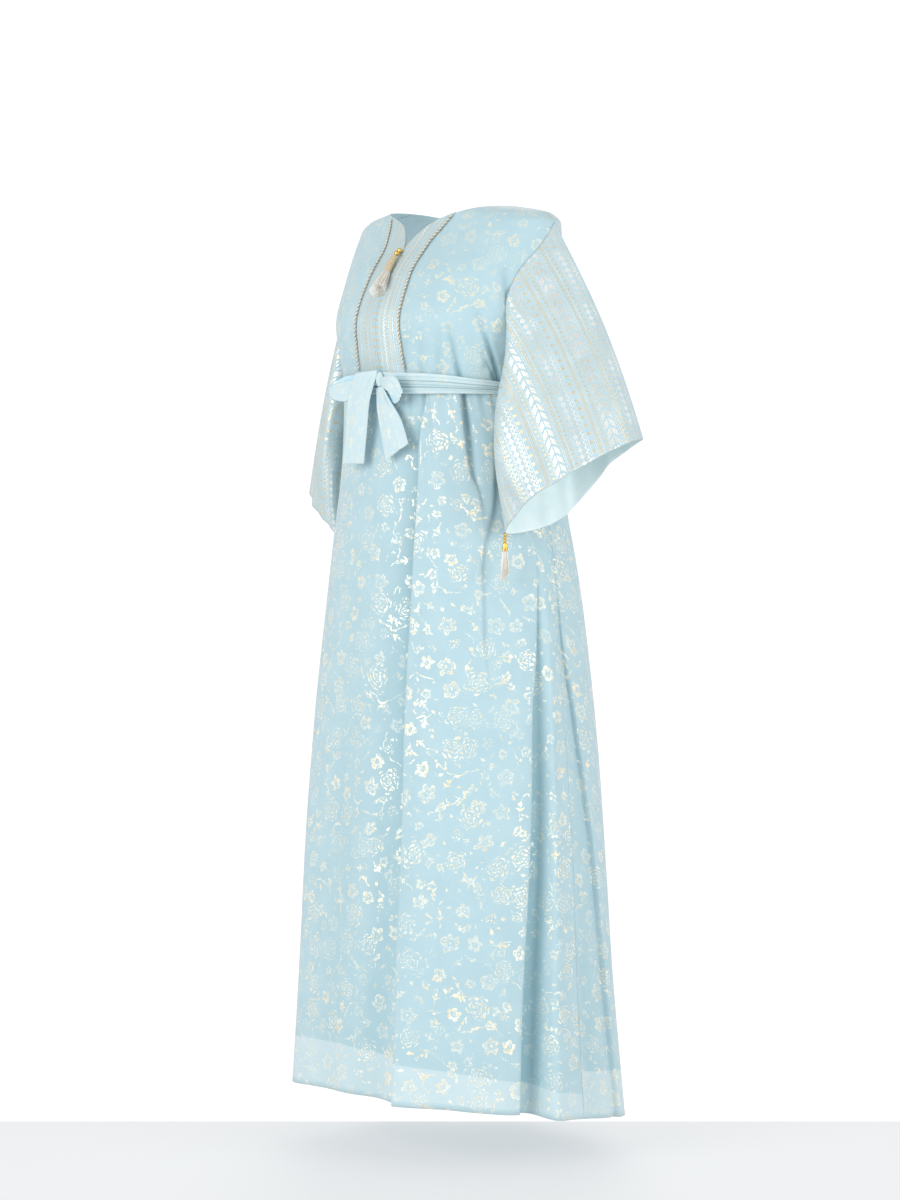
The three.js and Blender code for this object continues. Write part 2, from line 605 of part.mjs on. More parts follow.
// A bow loop is a flattened tube of cloth that leaves the knot and comes back under itself.
const LOOP_RIGHT = { from: [14.9, knotY - 0.6, -273], to: [66, -189, -301], high: 17, deep: 8, wide: 30 };
const LOOP_LEFT = { from: [5.3, knotY - 0.8, -275], to: [-94, -188, -294], high: 15, deep: 4, wide: 34 };
const LOOP_STEPS = 12;
const LOOP_COLUMNS = 4;
function bowLoop({ from, to, high, deep, wide }) {
  const start = vec(...from);
  const way = vec(...to).sub(start);
  const length = way.length();
  way.normalize();
  const across = vec(0, -1, 0).cross(way).normalize();
  const outward = way.clone().cross(across).normalize();
  const surface = (u, t) => {
    const turn = lerp(-0.86, 0.86, t) * PI;
    const reach = (length / 2) * (1 + cos(turn));
    const lift = (deep + 2) * sin(turn) * (0.35 + 0.65 * sin(PI * min(1, reach / length)));
    const spread = lerp(0.35, 1, min(1, reach / (0.7 * length)));
    return start.clone()
      .addScaledVector(way, reach)
      .addScaledVector(outward, lift)
      .addScaledVector(across, (u - 0.5) * wide * spread - (high * (1 - cos(turn))) / 30);
  };
  const cells = [];
  for (let i = 0; i <= LOOP_COLUMNS; i += 1) {
    const column = [];
    for (let j = 0; j <= LOOP_STEPS; j += 1) {
      const [u, t] = [i / LOOP_COLUMNS, j / LOOP_STEPS];
      const dU = surface(u + 0.01, t).sub(surface(u - 0.01, t));
      const dT = surface(u, t + 0.01).sub(surface(u, t - 0.01));
      column.push({ p: surface(u, t), n: dU.cross(dT).normalize() });
    }
    cells.push(column);
  }
  return wall(cells, { thickness: SASH_THICKNESS });
}
garment.add(mesh('bow_loop_right', bowLoop(LOOP_RIGHT), CHIFFON));
garment.add(mesh('bow_loop_left', bowLoop(LOOP_LEFT), CHIFFON));

{
  const profile = [];
  for (let k = 0; k <= 6; k += 1) {
    const turn = (PI * k) / 6;
    profile.push(new THREE.Vector2(sin(turn), -cos(turn)));
  }
  profile[0].x = 0;
  profile[6].x = 0;
  const geometry = new THREE.LatheGeometry(profile, 10);
  geometry.rotateX(PI / 2);
  geometry.scale(KNOT.wide / 2, KNOT.deep / 2, KNOT.high / 2);
  geometry.translate(KNOT.x, knotY, KNOT.z);
  garment.add(mesh('belt_knot', geometry, CHIFFON));
}

// Tassels: a turned head of beads, and thread strands whose roots are fused into the tassel's own head.
const wasm = await Module();
wasm.setup();
function toManifold(geometry) {
  const bare = geometry.clone();
  bare.deleteAttribute('normal');
  bare.deleteAttribute('uv');
  const merged = mergeVertices(bare, 1e-4);
  return new wasm.Manifold(new wasm.Mesh({
    numProp: 3,
    vertProperties: new Float32Array(merged.attributes.position.array),
    triVerts: new Uint32Array(merged.index.array),
  }));
}
function fromManifold(body) {
  const { vertProperties, triVerts } = body.getMesh();
  const geometry = new THREE.BufferGeometry();
  geometry.setAttribute('position', new THREE.BufferAttribute(new Float32Array(vertProperties), 3));
  geometry.setIndex(new THREE.BufferAttribute(new Uint32Array(triVerts), 1));
  geometry.computeVertexNormals();
  return geometry;
}

// A turned piece from rows of radius and height, hanging down from its top at zero.
function turned(rows, sides) {
  const profile = [...rows].reverse().map(({ radius, down }) => new THREE.Vector2(radius, -down));
  return new THREE.LatheGeometry(profile, sides).rotateX(PI / 2);
}

// A tassel of thread: a wound head, then strands that hang and flare from inside it.
function threadTassel({ head, strands, length, flare, strand }) {
  let body = toManifold(turned(head, 10));
  const neck = head[head.length - 2];
  for (let k = 0; k < strands; k += 1) {
    const turn = (2 * PI * k * 0.618034);
    const share = ((k + 0.5) / strands) ** 0.5;
    const top = vec(neck.radius * 0.8 * share * cos(turn), neck.radius * 0.8 * share * sin(turn), -neck.down + 3);
    const reach = length * (0.88 + 0.12 * sin(k * 2.4));
    const tip = vec(flare * share * cos(turn), flare * share * sin(turn), -neck.down - reach);
    const rod = new THREE.CylinderGeometry(strand * 0.8, strand, top.distanceTo(tip), 3, 1);
    const middle = top.clone().add(tip).multiplyScalar(0.5);
    const turnTo = new THREE.Quaternion().setFromUnitVectors(vec(0, 1, 0), top.clone().sub(tip).normalize());
    rod.applyQuaternion(turnTo).translate(middle.x, middle.y, middle.z);
    body = body.add(toManifold(rod));
  }
  return fromManifold(body);
}

// Sets a hanging piece in place, its top at a point and its length along a direction.
function hang(geometry, top, down) {
  const turn = new THREE.Quaternion().setFromUnitVectors(vec(0, 0, -1), down.clone().normalize());
  return geometry.applyQuaternion(turn).translate(top.x, top.y, top.z);
}

// A string of beads as rows of a turned profile.
function beadRows(count, radius, core) {
  const rows = [{ radius: 0, down: 0 }];
  for (let k = 0; k < count; k += 1) {
    for (const share of [0.1, 0.35, 0.65, 0.9]) {
      rows.push({ radius: core + (radius - core) * sin(PI * share), down: (k + share) * 2 * radius * 0.9 });
    }
  }
  rows.push({ radius: 0, down: count * 2 * radius * 0.9 });
  return rows;
}

const NECK_TASSEL = {
  head: [
    { radius: 0, down: 0 },
    { radius: 3.2, down: 1 },
    { radius: 4.6, down: 6 },
    { radius: 5.4, down: 29 },
    { radius: 4.4, down: 33 },
    { radius: 0, down: 33 },
  ],
  strands: 26,
  length: 40,
  flare: 9,
  strand: 1.1,
};
const NECK_TASSEL_Z = -72;
const NECK_TASSEL_LIFT = PANEL_OUT + 8.8;
const NECK_BEAD_RADIUS = 4.4;
{
  const onFront = (z, lift) => bodyPoint(0, z).addScaledVector(bodyNormal(0, z), lift);
  const beadRowsHere = beadRows(2, NECK_BEAD_RADIUS, 1.4);
  const beadLength = beadRowsHere[beadRowsHere.length - 1].down;
  const beadTop = onFront(NECK_TASSEL_Z, PANEL_OUT + NECK_BEAD_RADIUS - 0.5);
  const beadDown = onFront(NECK_TASSEL_Z - beadLength, NECK_TASSEL_LIFT).sub(beadTop).normalize();
  const headTop = beadTop.clone().addScaledVector(beadDown, beadLength + SEAM_GAP);
  const down = onFront(NECK_TASSEL_Z - 84, NECK_TASSEL_LIFT + 5).sub(headTop).normalize();
  const beads = turned(beadRowsHere, 10);
  garment.add(mesh('neck_tassel_beads', hang(beads, beadTop, beadDown), GOLD));
  garment.add(mesh('neck_tassel', hang(threadTassel(NECK_TASSEL), headTop, down), THREAD));
}

const SLEEVE_TASSEL = {
  head: [
    { radius: 0, down: 0 },
    { radius: 1.8, down: 1 },
    { radius: 2.6, down: 6 },
    { radius: 0, down: 6 },
  ],
  strands: 20,
  length: 42,
  flare: 7,
  strand: 0.9,
};
const SLEEVE_BEAD_RADIUS = 2.6;
const SLEEVE_CAP = [
  { radius: 1.6, down: 14.2 },
  { radius: 3.4, down: 16 },
  { radius: 3.6, down: 22 },
  { radius: 5, down: 27 },
  { radius: 0, down: 27 },
];
for (const [side, surface] of Object.entries(sleeves)) {
  const tip = surface(180, 1).add(vec(0, 0, -SEAM_GAP - 0.2));
  const beads = beadRows(3, SLEEVE_BEAD_RADIUS, 1.2).slice(0, -1);
  const capped = turned([...beads, ...SLEEVE_CAP], 10).translate(tip.x, tip.y, tip.z);
  garment.add(mesh(`sleeve_${side}_tassel_beads`, capped, GOLD));
  const capEnd = SLEEVE_CAP[SLEEVE_CAP.length - 1].down;
  const under = tip.clone().add(vec(0, 0, -capEnd - SEAM_GAP));
  const strands = hang(threadTassel(SLEEVE_TASSEL), under, vec(0, 0, -1));
  garment.add(mesh(`sleeve_${side}_tassel`, strands, THREAD));
}

export default garment;
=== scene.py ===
# A long belted dress of pale aqua chiffon with a gold foil flower print, wide sleeves and a front panel of
# foil striped cloth, twisted braid, a tied sash and thread tassels. Hollow, it hangs from its shoulders.
# Sizes are in millimetres up to the meshes, which are in metres. A bearing is an angle round the dress in
# degrees, 0 at the centre front and 90 at its left side.
import math

import bpy
import numpy as np
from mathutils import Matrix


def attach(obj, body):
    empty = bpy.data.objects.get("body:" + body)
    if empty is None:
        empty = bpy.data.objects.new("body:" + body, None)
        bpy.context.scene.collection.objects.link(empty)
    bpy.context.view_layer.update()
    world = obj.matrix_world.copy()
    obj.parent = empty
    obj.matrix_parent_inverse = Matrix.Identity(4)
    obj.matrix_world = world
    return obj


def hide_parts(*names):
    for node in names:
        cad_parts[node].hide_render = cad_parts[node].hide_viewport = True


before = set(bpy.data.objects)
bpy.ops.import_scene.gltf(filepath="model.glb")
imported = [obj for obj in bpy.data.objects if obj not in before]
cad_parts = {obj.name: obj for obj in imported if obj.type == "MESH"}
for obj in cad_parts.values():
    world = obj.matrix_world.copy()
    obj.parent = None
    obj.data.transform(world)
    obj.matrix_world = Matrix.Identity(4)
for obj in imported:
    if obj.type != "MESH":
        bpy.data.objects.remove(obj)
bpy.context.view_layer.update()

MM = 0.001


# The studio: a camera at the height of the hips, half left of the front, a plain pale floor that ends just
# behind the dress, a white surround and three broad soft lights.
CAMERA_BEARING = math.radians(45)
CAMERA_DISTANCE = 5.6
CAMERA_HEIGHT = -0.440
CAMERA_ASIDE = -0.011
CAMERA_PITCH = math.radians(-1.87)
CAMERA_LENS = 105.0
FLOOR_Z = -1.493
FLOOR_BEHIND = 0.17
FLOOR_HALF = 6.0
FLOOR_COLOUR = (0.34, 0.35, 0.36, 1)
FLOOR_GRAIN_COLOUR = (0.31, 0.33, 0.34, 1)
FLOOR_GLOW = 0.44
SURROUND_SEEN = 1.1
SURROUND_LIGHT = 0.74
DRESS_MIDDLE_Z = -0.7

scene = bpy.context.scene
scene.view_settings.view_transform = "Standard"
side_way = np.array([math.cos(CAMERA_BEARING), math.sin(CAMERA_BEARING), 0])
front_way = np.array([math.sin(CAMERA_BEARING), -math.cos(CAMERA_BEARING), 0])

camera_data = bpy.data.cameras.new("camera")
camera_data.lens = CAMERA_LENS
camera_data.sensor_width = 36.0
camera_data.clip_end = 100.0
camera = bpy.data.objects.new("camera", camera_data)
camera.location = CAMERA_DISTANCE * front_way + CAMERA_ASIDE * side_way + np.array([0, 0, CAMERA_HEIGHT])
camera.rotation_euler = (math.pi / 2 + CAMERA_PITCH, 0, CAMERA_BEARING)
scene.collection.objects.link(camera)
scene.camera = camera


class Wire:
    """One output of a shader node. An expression on wires and numbers adds the Math nodes that it names."""

    def __init__(self, shader, socket):
        self.shader = shader
        self.socket = socket

    def out(self, name):
        return Wire(self.shader, self.socket.node.outputs[name])

    def maths(self, operation, *others):
        return self.shader.add("ShaderNodeMath", {"operation": operation}, dict(enumerate((self, *others))))

    def __add__(self, other):
        return self.maths("ADD", other)

    def __radd__(self, other):
        return self.maths("ADD", other)

    def __mul__(self, other):
        return self.maths("MULTIPLY", other)

    def __rmul__(self, other):
        return self.maths("MULTIPLY", other)

    def __sub__(self, other):
        return self.maths("SUBTRACT", other)

    def __rsub__(self, other):
        return self.shader.add("ShaderNodeMath", {"operation": "SUBTRACT"}, {0: other, 1: self})

    def __gt__(self, other):
        return self.maths("GREATER_THAN", other)

    def __abs__(self):
        return self.maths("ABSOLUTE")

    def sine(self):
        return self.maths("SINE")

    def larger(self, other):
        return self.maths("MAXIMUM", other)

    def rise(self, low, high):
        """0 below the low value and 1 above the high one, with a straight slope between them."""
        k = 1 / (high - low)
        settings = {"operation": "MULTIPLY_ADD", "use_clamp": True}
        return self.shader.add("ShaderNodeMath", settings, {0: self, 1: k, 2: -low * k})


class Shader:
    """A material whose surface is one Principled BSDF."""

    def __init__(self, name, **constants):
        self.material = bpy.data.materials.new(name)
        self.material.use_nodes = True
        self.tree = self.material.node_tree
        self.surface = self.tree.nodes["Principled BSDF"]
        self.set(**constants)

    def add(self, kind, settings, sockets):
        """A node of a kind: its settings first, then the values or links of its sockets."""
        node = self.tree.nodes.new(kind)
        for name, value in settings.items():
            setattr(node, name, value)
        for name, value in sockets.items():
            self.feed(node.inputs[name], value)
        return Wire(self, next(output for output in node.outputs if output.enabled))

    def feed(self, socket, value):
        if isinstance(value, Wire):
            self.tree.links.new(value.socket, socket)
        else:
            socket.default_value = value

    def set(self, **sockets):
        """Values or links of the surface's sockets, named with _ for a space."""
        for name, value in sockets.items():
            self.feed(self.surface.inputs[name.replace("_", " ")], value)

    def mix(self, share, first, second):
        """A colour between two, by a share."""
        node = self.tree.nodes.new("ShaderNodeMix")
        node.data_type = "RGBA"
        self.feed(node.inputs[0], share)
        self.feed(node.inputs[6], first)
        self.feed(node.inputs[7], second)
        return Wire(self, node.outputs[2])

    def noise(self, place, scale, detail=2.0, kind="3D"):
        sockets = {"Vector": place, "Scale": scale, "Detail": detail}
        return self.add("ShaderNodeTexNoise", {"noise_dimensions": kind}, sockets)

    def bump(self, height, distance, strength=1.0):
        return self.add("ShaderNodeBump", {}, {"Height": height, "Distance": distance, "Strength": strength})


floor_shader = Shader("floor paint", Roughness=0.8)
floor_shader.set(Emission_Color=(1, 1, 1, 1), Emission_Strength=FLOOR_GLOW)
floor_place = floor_shader.add("ShaderNodeTexCoord", {}, {}).out("Object")
floor_grain = floor_shader.noise(floor_place, 60.0)
floor_shader.set(Base_Color=floor_shader.mix(floor_grain * 0.02, FLOOR_COLOUR, FLOOR_GRAIN_COLOUR))
floor_corners = [
    FLOOR_HALF * side_way * across + (FLOOR_HALF * front_way if near else -FLOOR_BEHIND * front_way)
    for across, near in ((-1, True), (1, True), (1, False), (-1, False))
]
floor_mesh = bpy.data.meshes.new("floor")
floor_mesh.from_pydata([(x, y, FLOOR_Z) for x, y, _ in floor_corners], [], [(0, 1, 2, 3)])
floor_mesh.materials.append(floor_shader.material)
floor = bpy.data.objects.new("floor", floor_mesh)
scene.collection.objects.link(floor)

world = bpy.data.worlds.new("surround")
world.use_nodes = True
surround = world.node_tree.nodes["Background"]
surround.inputs["Color"].default_value = (1, 1, 1, 1)
ray = world.node_tree.nodes.new("ShaderNodeLightPath")
level = world.node_tree.nodes.new("ShaderNodeMath")
level.operation = "MULTIPLY_ADD"
level.inputs[1].default_value = SURROUND_SEEN - SURROUND_LIGHT
level.inputs[2].default_value = SURROUND_LIGHT
world.node_tree.links.new(ray.outputs["Is Camera Ray"], level.inputs[0])
world.node_tree.links.new(level.outputs[0], surround.inputs["Strength"])
scene.world = world


def soft_light(name, bearing, height, distance, size, power):
    """A square soft light at a bearing round the dress, turned to its middle."""
    data = bpy.data.lights.new(name, "AREA")
    data.size = size
    data.energy = power
    light = bpy.data.objects.new(name, data)
    flat = math.radians(bearing)
    light.location = (distance * math.sin(flat), -distance * math.cos(flat), height)
    down = math.atan2(height - DRESS_MIDDLE_Z, distance)
    light.rotation_euler = (math.pi / 2 - down, 0, flat)
    scene.collection.objects.link(light)


soft_light("key light", 0, 0.3, 4.2, 2.4, 90)
soft_light("fill light", 98, 0.0, 4.4, 2.6, 76)
soft_light("back light", 222, 0.3, 4.4, 2.6, 60)


# The form of the dress: level ovals from the hem to the shoulders, each with its half width, its depths to
# the front and back of the side line, and that line's place. Bodice, belt and skirt all follow it.
WALL = 1.2
WAIST_SEAM_Z = -291
SECTIONS = np.array([
    # level, side, front, back, side line's y
    (-1430, 281, 233, 232, -3),
    (-1242, 269, 222, 221, -3),
    (-1022, 260, 209, 209, -3),
    (-819, 245, 196, 196, -3),
    (-640, 226, 179, 179, -3),
    (-498, 206, 165, 161, -6),
    (-420, 191, 148, 147, -17),
    (-345, 178, 131, 134, -34),
    (-285, 170, 120, 120, -47),
    (-230, 178, 130, 132, -45),
    (-175, 190, 143, 138, -35),
    (-115, 195, 137, 118, -15),
    (-60, 207, 115, 94, 4),
    (-30, 205, 99, 84, 9),
    (-14, 186, 92, 74, 11),
    (-6, 152, 89, 68, 12),
    (0, 115, 86, 62, 12),
    (8, 70, 82, 56, 12),
])


def curve(keys, values, at):
    """A smooth curve through rows of keys and values that never overshoots: the slope at a row is the
    harmonic mean of its two secants, or 0 where they differ in sign."""
    keys, values, at = (np.asarray(part, dtype=float) for part in (keys, values, at))
    secant = np.diff(values) / np.diff(keys)
    before = np.concatenate([secant[:1], secant])
    after = np.concatenate([secant, secant[-1:]])
    turning = before * after <= 0
    slope = np.where(turning, 0, 2 * before * after / np.where(turning, 1, before + after))
    i = np.clip(np.searchsorted(keys, at, side="left"), 1, len(keys) - 1)
    width = keys[i] - keys[i - 1]
    t = np.clip((at - keys[i - 1]) / width, -0.5, 1.5)
    s = t * t * (3 - 2 * t)
    inner = values[i - 1] + (values[i] - values[i - 1]) * s
    inner = inner + width * t * (1 - t) * (slope[i - 1] * (1 - t) - slope[i] * t)
    below = values[i - 1] + slope[i - 1] * width * t
    above = values[i] + slope[i] * width * (t - 1)
    return np.where(t < 0, below, np.where(t > 1, above, inner))


def section(z):
    """Side, front and back depth and side line's y of the form at a level."""
    return [curve(SECTIONS[:, 0], SECTIONS[:, k], z) for k in (1, 2, 3, 4)]


def join(*parts):
    """Points from arrays of x, y and z."""
    return np.stack(np.broadcast_arrays(*parts), axis=-1)


def body(bearing, z):
    """A point of the form: x is the side times the bearing's sine, y the side line less the depth times
    its cosine."""
    side, front, back, y = section(z)
    c = np.cos(np.radians(bearing))
    return join(side * np.sin(np.radians(bearing)), y - np.where(c > 0, front, back) * c, z)


def unit(vectors):
    return vectors / np.maximum(np.linalg.norm(vectors, axis=-1, keepdims=True), 1e-9)


def facing(points, inside, closed=False):
    """Unit normals of a grid: the cross product of its differences both ways, away from the inside."""
    if closed:
        along_u = np.roll(points, -1, axis=0) - np.roll(points, 1, axis=0)
    else:
        along_u = np.gradient(points, axis=0)
    normals = unit(np.cross(along_u, np.gradient(points, axis=1)))
    outward = np.sum(normals * unit(points - inside), axis=-1).mean()
    return normals if outward > 0 else -normals


def run_lengths(points, axis):
    """Length along one way of a grid from its first line, summed from the steps."""
    steps = np.linalg.norm(np.diff(points, axis=axis), axis=-1)
    pad = [(0, 0), (0, 0)]
    pad[axis] = (1, 0)
    return np.cumsum(np.pad(steps, pad), axis=axis)


def flat_place(points, middle):
    """Where each point lies in the flat cloth: its length across from the middle column, and its length
    up from the lower edge."""
    across = run_lengths(points, 0)
    down = run_lengths(points, 1)
    return np.stack([across - across[middle], down[:, -1:] - down], axis=-1)


def cloth(name, points, normals, place, materials, thickness=WALL, closed=False, deep=0.0):
    """A closed cloth wall from a grid: the outer face is the grid and the inner one lies a thickness
    behind it, with rims along the open edges. The flat place is its UV map; its length from the lower edge
    and how deep it lies in a fold are attributes. A second material goes on the inner face."""
    columns, rows = points.shape[:2]
    inner = points - normals * thickness
    vertices = np.concatenate([points.reshape(-1, 3), inner.reshape(-1, 3)]) * MM
    spans = columns if closed else columns - 1
    i, j = np.meshgrid(np.arange(spans), np.arange(rows - 1), indexing="ij")
    i, j = i.ravel(), j.ravel()
    i_last = np.full(rows - 1, columns - 1)
    j_run = np.arange(rows - 1)
    i_run = np.arange(spans)
    zero_i, zero_j = np.zeros(rows - 1, int), np.zeros(spans, int)
    last_j = np.full(spans, rows - 1)

    def quads(*corners):
        """Quads whose corners are (column, row, layer) arrays."""
        return np.stack([np.stack(np.broadcast_arrays(*corner), axis=-1) for corner in corners], axis=1)

    parts = [
        quads((i, j, 0), (i + 1, j, 0), (i + 1, j + 1, 0), (i, j + 1, 0)),
        quads((i, j, 1), (i, j + 1, 1), (i + 1, j + 1, 1), (i + 1, j, 1)),
        quads((i_run + 1, zero_j, 0), (i_run, zero_j, 0), (i_run, zero_j, 1), (i_run + 1, zero_j, 1)),
        quads((i_run, last_j, 0), (i_run + 1, last_j, 0), (i_run + 1, last_j, 1), (i_run, last_j, 1)),
    ]
    if not closed:
        below = j_run + 1
        parts.append(quads((zero_i, j_run, 0), (zero_i, below, 0), (zero_i, below, 1), (zero_i, j_run, 1)))
        parts.append(quads((i_last, below, 0), (i_last, j_run, 0), (i_last, j_run, 1), (i_last, below, 1)))
    corners = np.concatenate(parts)
    along_u = points[1] - points[0]
    along_v = np.gradient(points, axis=1)[0]
    if np.sum(np.cross(along_u, along_v) * normals[0]) < 0:
        corners = corners[:, ::-1]
    index = corners[..., 0] % columns * rows + corners[..., 1] + corners[..., 2] * columns * rows
    mesh = bpy.data.meshes.new(name)
    mesh.from_pydata(vertices.tolist(), [], index.tolist())
    flat = place[corners[..., 0], corners[..., 1]] * MM
    uv_map = mesh.uv_layers.new(name="cloth")
    uv_map.data.foreach_set("uv", flat.reshape(-1).astype(np.float32))
    down = run_lengths(points, 1)
    from_edge = (down[:, -1:] - down).reshape(-1)
    edge = mesh.attributes.new("edge", "FLOAT", "POINT")
    edge.data.foreach_set("value", np.concatenate([from_edge, from_edge]).astype(np.float32))
    # The deep attribute also sets where the printed chiffon gets its painted shade.
    painted_shade_mask = np.tile(np.broadcast_to(deep, (columns, rows)).reshape(-1), 2)
    mesh.attributes.new("deep", "FLOAT", "POINT").data.foreach_set("value", painted_shade_mask.astype(np.float32))
    for material in materials:
        mesh.materials.append(material)
    if len(materials) > 1:
        shown = np.zeros(len(index), np.int32)
        shown[len(parts[0]):len(parts[0]) + len(parts[1])] = 1
        mesh.polygons.foreach_set("material_index", shown)
    mesh.polygons.foreach_set("use_smooth", np.ones(len(index), bool))
    mesh.update()
    piece = bpy.data.objects.new(name, mesh)
    scene.collection.objects.link(piece)
    return piece


def fit(piece, slot, *nodes):
    """A piece that stands for CAD nodes and rides on the one body."""
    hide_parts(*nodes)
    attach(piece, "root")


# The printed chiffon of bodice and skirt: sheer pale aqua cloth, printed with champagne foil roses, five
# petalled flowers, leafy sprigs, berries and thin stems. The foil is broken up by the crinkle of the weave.
CHIFFON_COLOUR = (0.435, 0.595, 0.648, 1)
CHIFFON_SHADE = (0.375, 0.545, 0.605, 1)
# Painted shade for cloth that lies deep in folds, creases and pleat grooves.
PAINTED_FOLD_SHADE = (0.28, 0.47, 0.53, 1)
CHIFFON_PALE = (0.74, 0.84, 0.85, 1)
FOIL_COLOUR = (0.90, 0.77, 0.51, 1)
# Painted highlight: the near white that foil is mixed toward where it seems to glint.
FOIL_PAINTED_GLINT = (1.0, 0.94, 0.80, 1)
SHEER_COLOUR = (0.80, 0.86, 0.86, 1)
STITCHED_COLOUR = (0.42, 0.62, 0.70, 1)
# Strength of the painted glow of plain cloth.
PAINTED_CLOTH_GLOW = 0.1
LARGE_SPACING = 54
MEDIUM_SPACING = 30
SMALL_SPACING = 19
BERRY_SPACING = 3.9
ROSE_RADIUS = 20
BLOSSOM_RADIUS = 13
SMALL_BLOSSOM_RADIUS = 8.5
SPRIG_LENGTH = 14
HEM_FOLD = 9
# The sheer band above the hem: its height at the middle, its fall to the left and where that fall begins.
SHEER_BAND = 68
SHEER_FALL = 0.07
SHEER_FALL_FROM = -110


class Motif:
    """The place in a loosely set grid of motifs: x, y, radius and angle from the nearest motif's own middle,
    each turned its own way, and two draws of its own between 0 and 1."""

    def __init__(self, shader, place, spacing, loose, shift):
        moved = shader.add("ShaderNodeVectorMath", {"operation": "ADD"}, {0: place, 1: shift})
        sockets = {"Vector": moved, "Scale": 1 / (spacing * MM), "Randomness": loose}
        cell = shader.add("ShaderNodeTexVoronoi", {"voronoi_dimensions": "2D"}, sockets)
        middle = cell.out("Position")
        local = shader.add("ShaderNodeVectorMath", {"operation": "SUBTRACT"}, {0: moved, 1: middle})
        draws = shader.add("ShaderNodeSeparateColor", {}, {"Color": cell.out("Color")})
        turn = {"Vector": local, "Angle": draws * (2 * math.pi)}
        turned = shader.add("ShaderNodeVectorRotate", {"rotation_type": "Z_AXIS"}, turn)
        parts = shader.add("ShaderNodeSeparateXYZ", {}, {"Vector": turned})
        self.x = parts * (1 / MM)
        self.y = parts.out("Y") * (1 / MM)
        self.radius = (self.x * self.x + self.y * self.y).maths("SQRT")
        self.angle = self.y.maths("ARCTAN2", self.x)
        self.kind = draws.out("Green")
        self.size = draws.out("Blue")


def rose(motif, radius):
    """Crescent petals: thin rings of the radius, bent to and fro by the angle and parted by a fringe that
    turns with the radius, inside a wavy edge."""
    edge = (motif.angle * 5 + 1).sine() * (0.1 * radius) + 0.9 * radius
    bent = (motif.angle * 2 + 0.8).sine() * 1.7 + (motif.angle * 3).sine() * 1.4
    rings = (motif.radius * (2 * math.pi / (0.27 * radius)) + bent).sine()
    fringe = (motif.angle * 7 + motif.radius * 0.5).sine()
    return (edge - motif.radius).rise(0, 0.8) * rings.rise(-0.2, 0.35) * fringe.rise(-0.85, -0.35)


def blossom(motif, radius):
    """Five petals whose edge follows the cosine of two and a half times the angle: a solid rim, fine lines
    that run in from it, and a small round heart. Some have petals filled with foil."""
    lobes = abs((motif.angle * 2.5 + math.pi / 2).sine())
    edge = lobes.maths("POWER", 0.6) * (0.5 * radius) + 0.5 * radius
    rim = (motif.radius - edge + 0.2 * radius).rise(0, 1.2)
    outside_heart = (motif.radius - 0.3 * radius).rise(0, 1)
    lines = (motif.angle * 25 + motif.radius * 0.3).sine().rise(-0.2, 0.5)
    filled = (motif.size > 0.5) * 0.7
    petals = (edge - motif.radius).rise(0, 0.7) * rim.larger(lines.larger(filled) * outside_heart)
    return petals.larger((0.14 * radius - motif.radius).rise(0, 0.6))


def sprig(motif, length):
    """A stem with pairs of leaves that sweep back along it and shorten to its tip."""
    swept = motif.x - abs(motif.y) * 0.9
    leaf = abs((swept * (math.pi / 8.5)).sine())
    reach = (1 - abs(motif.x) * (1 / length)).larger(0) * 9
    leaves = (leaf * reach - abs(motif.y)).rise(1.4, 2.2)
    stem = (0.7 - abs(motif.y)).rise(0, 0.4) * (1.15 * length - abs(motif.x)).rise(0, 1)
    return leaves.larger(stem)


def flower_foil(shader, place):
    """How much foil lies on the cloth: large motifs, then smaller ones, buds and stems clear of them. The
    whole print is pushed a little out of true by noise, as a hand drawn one is."""
    pushed = {0: shader.noise(place, 85.0, 1.0, "2D").out("Color"), 1: (0.009, 0.009, 0), 2: place}
    place = shader.add("ShaderNodeVectorMath", {"operation": "MULTIPLY_ADD"}, pushed)
    large = Motif(shader, place, LARGE_SPACING, 0.85, (0.013, 0.021, 0))
    is_rose = large.kind > 0.52
    grown = large.size * 0.3 + 0.85
    large.radius = large.radius * grown
    kinds = {0: is_rose, 2: blossom(large, BLOSSOM_RADIUS), 3: rose(large, ROSE_RADIUS)}
    big = shader.add("ShaderNodeMix", {}, kinds)
    clear = (large.radius - 1.08 * ROSE_RADIUS).rise(0, 2)

    medium = Motif(shader, place, MEDIUM_SPACING, 0.95, (0.31, 0.17, 0))
    berry_cells = {"Vector": place, "Scale": 1 / (BERRY_SPACING * MM), "Randomness": 0.7}
    berries = shader.add("ShaderNodeTexVoronoi", {"voronoi_dimensions": "2D"}, berry_cells)
    berries = (0.36 - berries).rise(0, 0.14) * (10 - medium.radius).rise(0, 2)
    small_blossom = blossom(medium, SMALL_BLOSSOM_RADIUS)
    kinds = {0: medium.kind > 0.45, 2: small_blossom, 3: sprig(medium, SPRIG_LENGTH)}
    leafy = shader.add("ShaderNodeMix", {}, kinds)
    middling = shader.add("ShaderNodeMix", {}, {0: medium.kind > 0.76, 2: leafy, 3: berries})

    small = Motif(shader, place, SMALL_SPACING, 0.9, (0.57, 0.41, 0))
    bud = (1 - abs(small.x) * (1 / 5.5) - abs(small.y) * (1 / 2.6)).rise(0, 0.2)
    bud = bud * (small.kind > 0.35) * (medium.radius - 13).rise(0, 2)

    wander = shader.noise(place, 15.0, 0.5, "2D")
    stem = (0.0095 - abs(wander - 0.5)).rise(0, 0.004)
    parted = shader.noise(place, 33.0, 0.0, "2D").rise(0.42, 0.46)
    foil = big.larger(clear * middling.larger(bud).larger(stem * parted))
    worn = shader.noise(place, 250.0, 2.0, "2D").rise(0.39, 0.53) * 0.8 + 0.2
    patchy = shader.noise(place, 11.0, 1.0, "2D").rise(0.36, 0.62) * 0.5 + 0.5
    return foil * worn * patchy


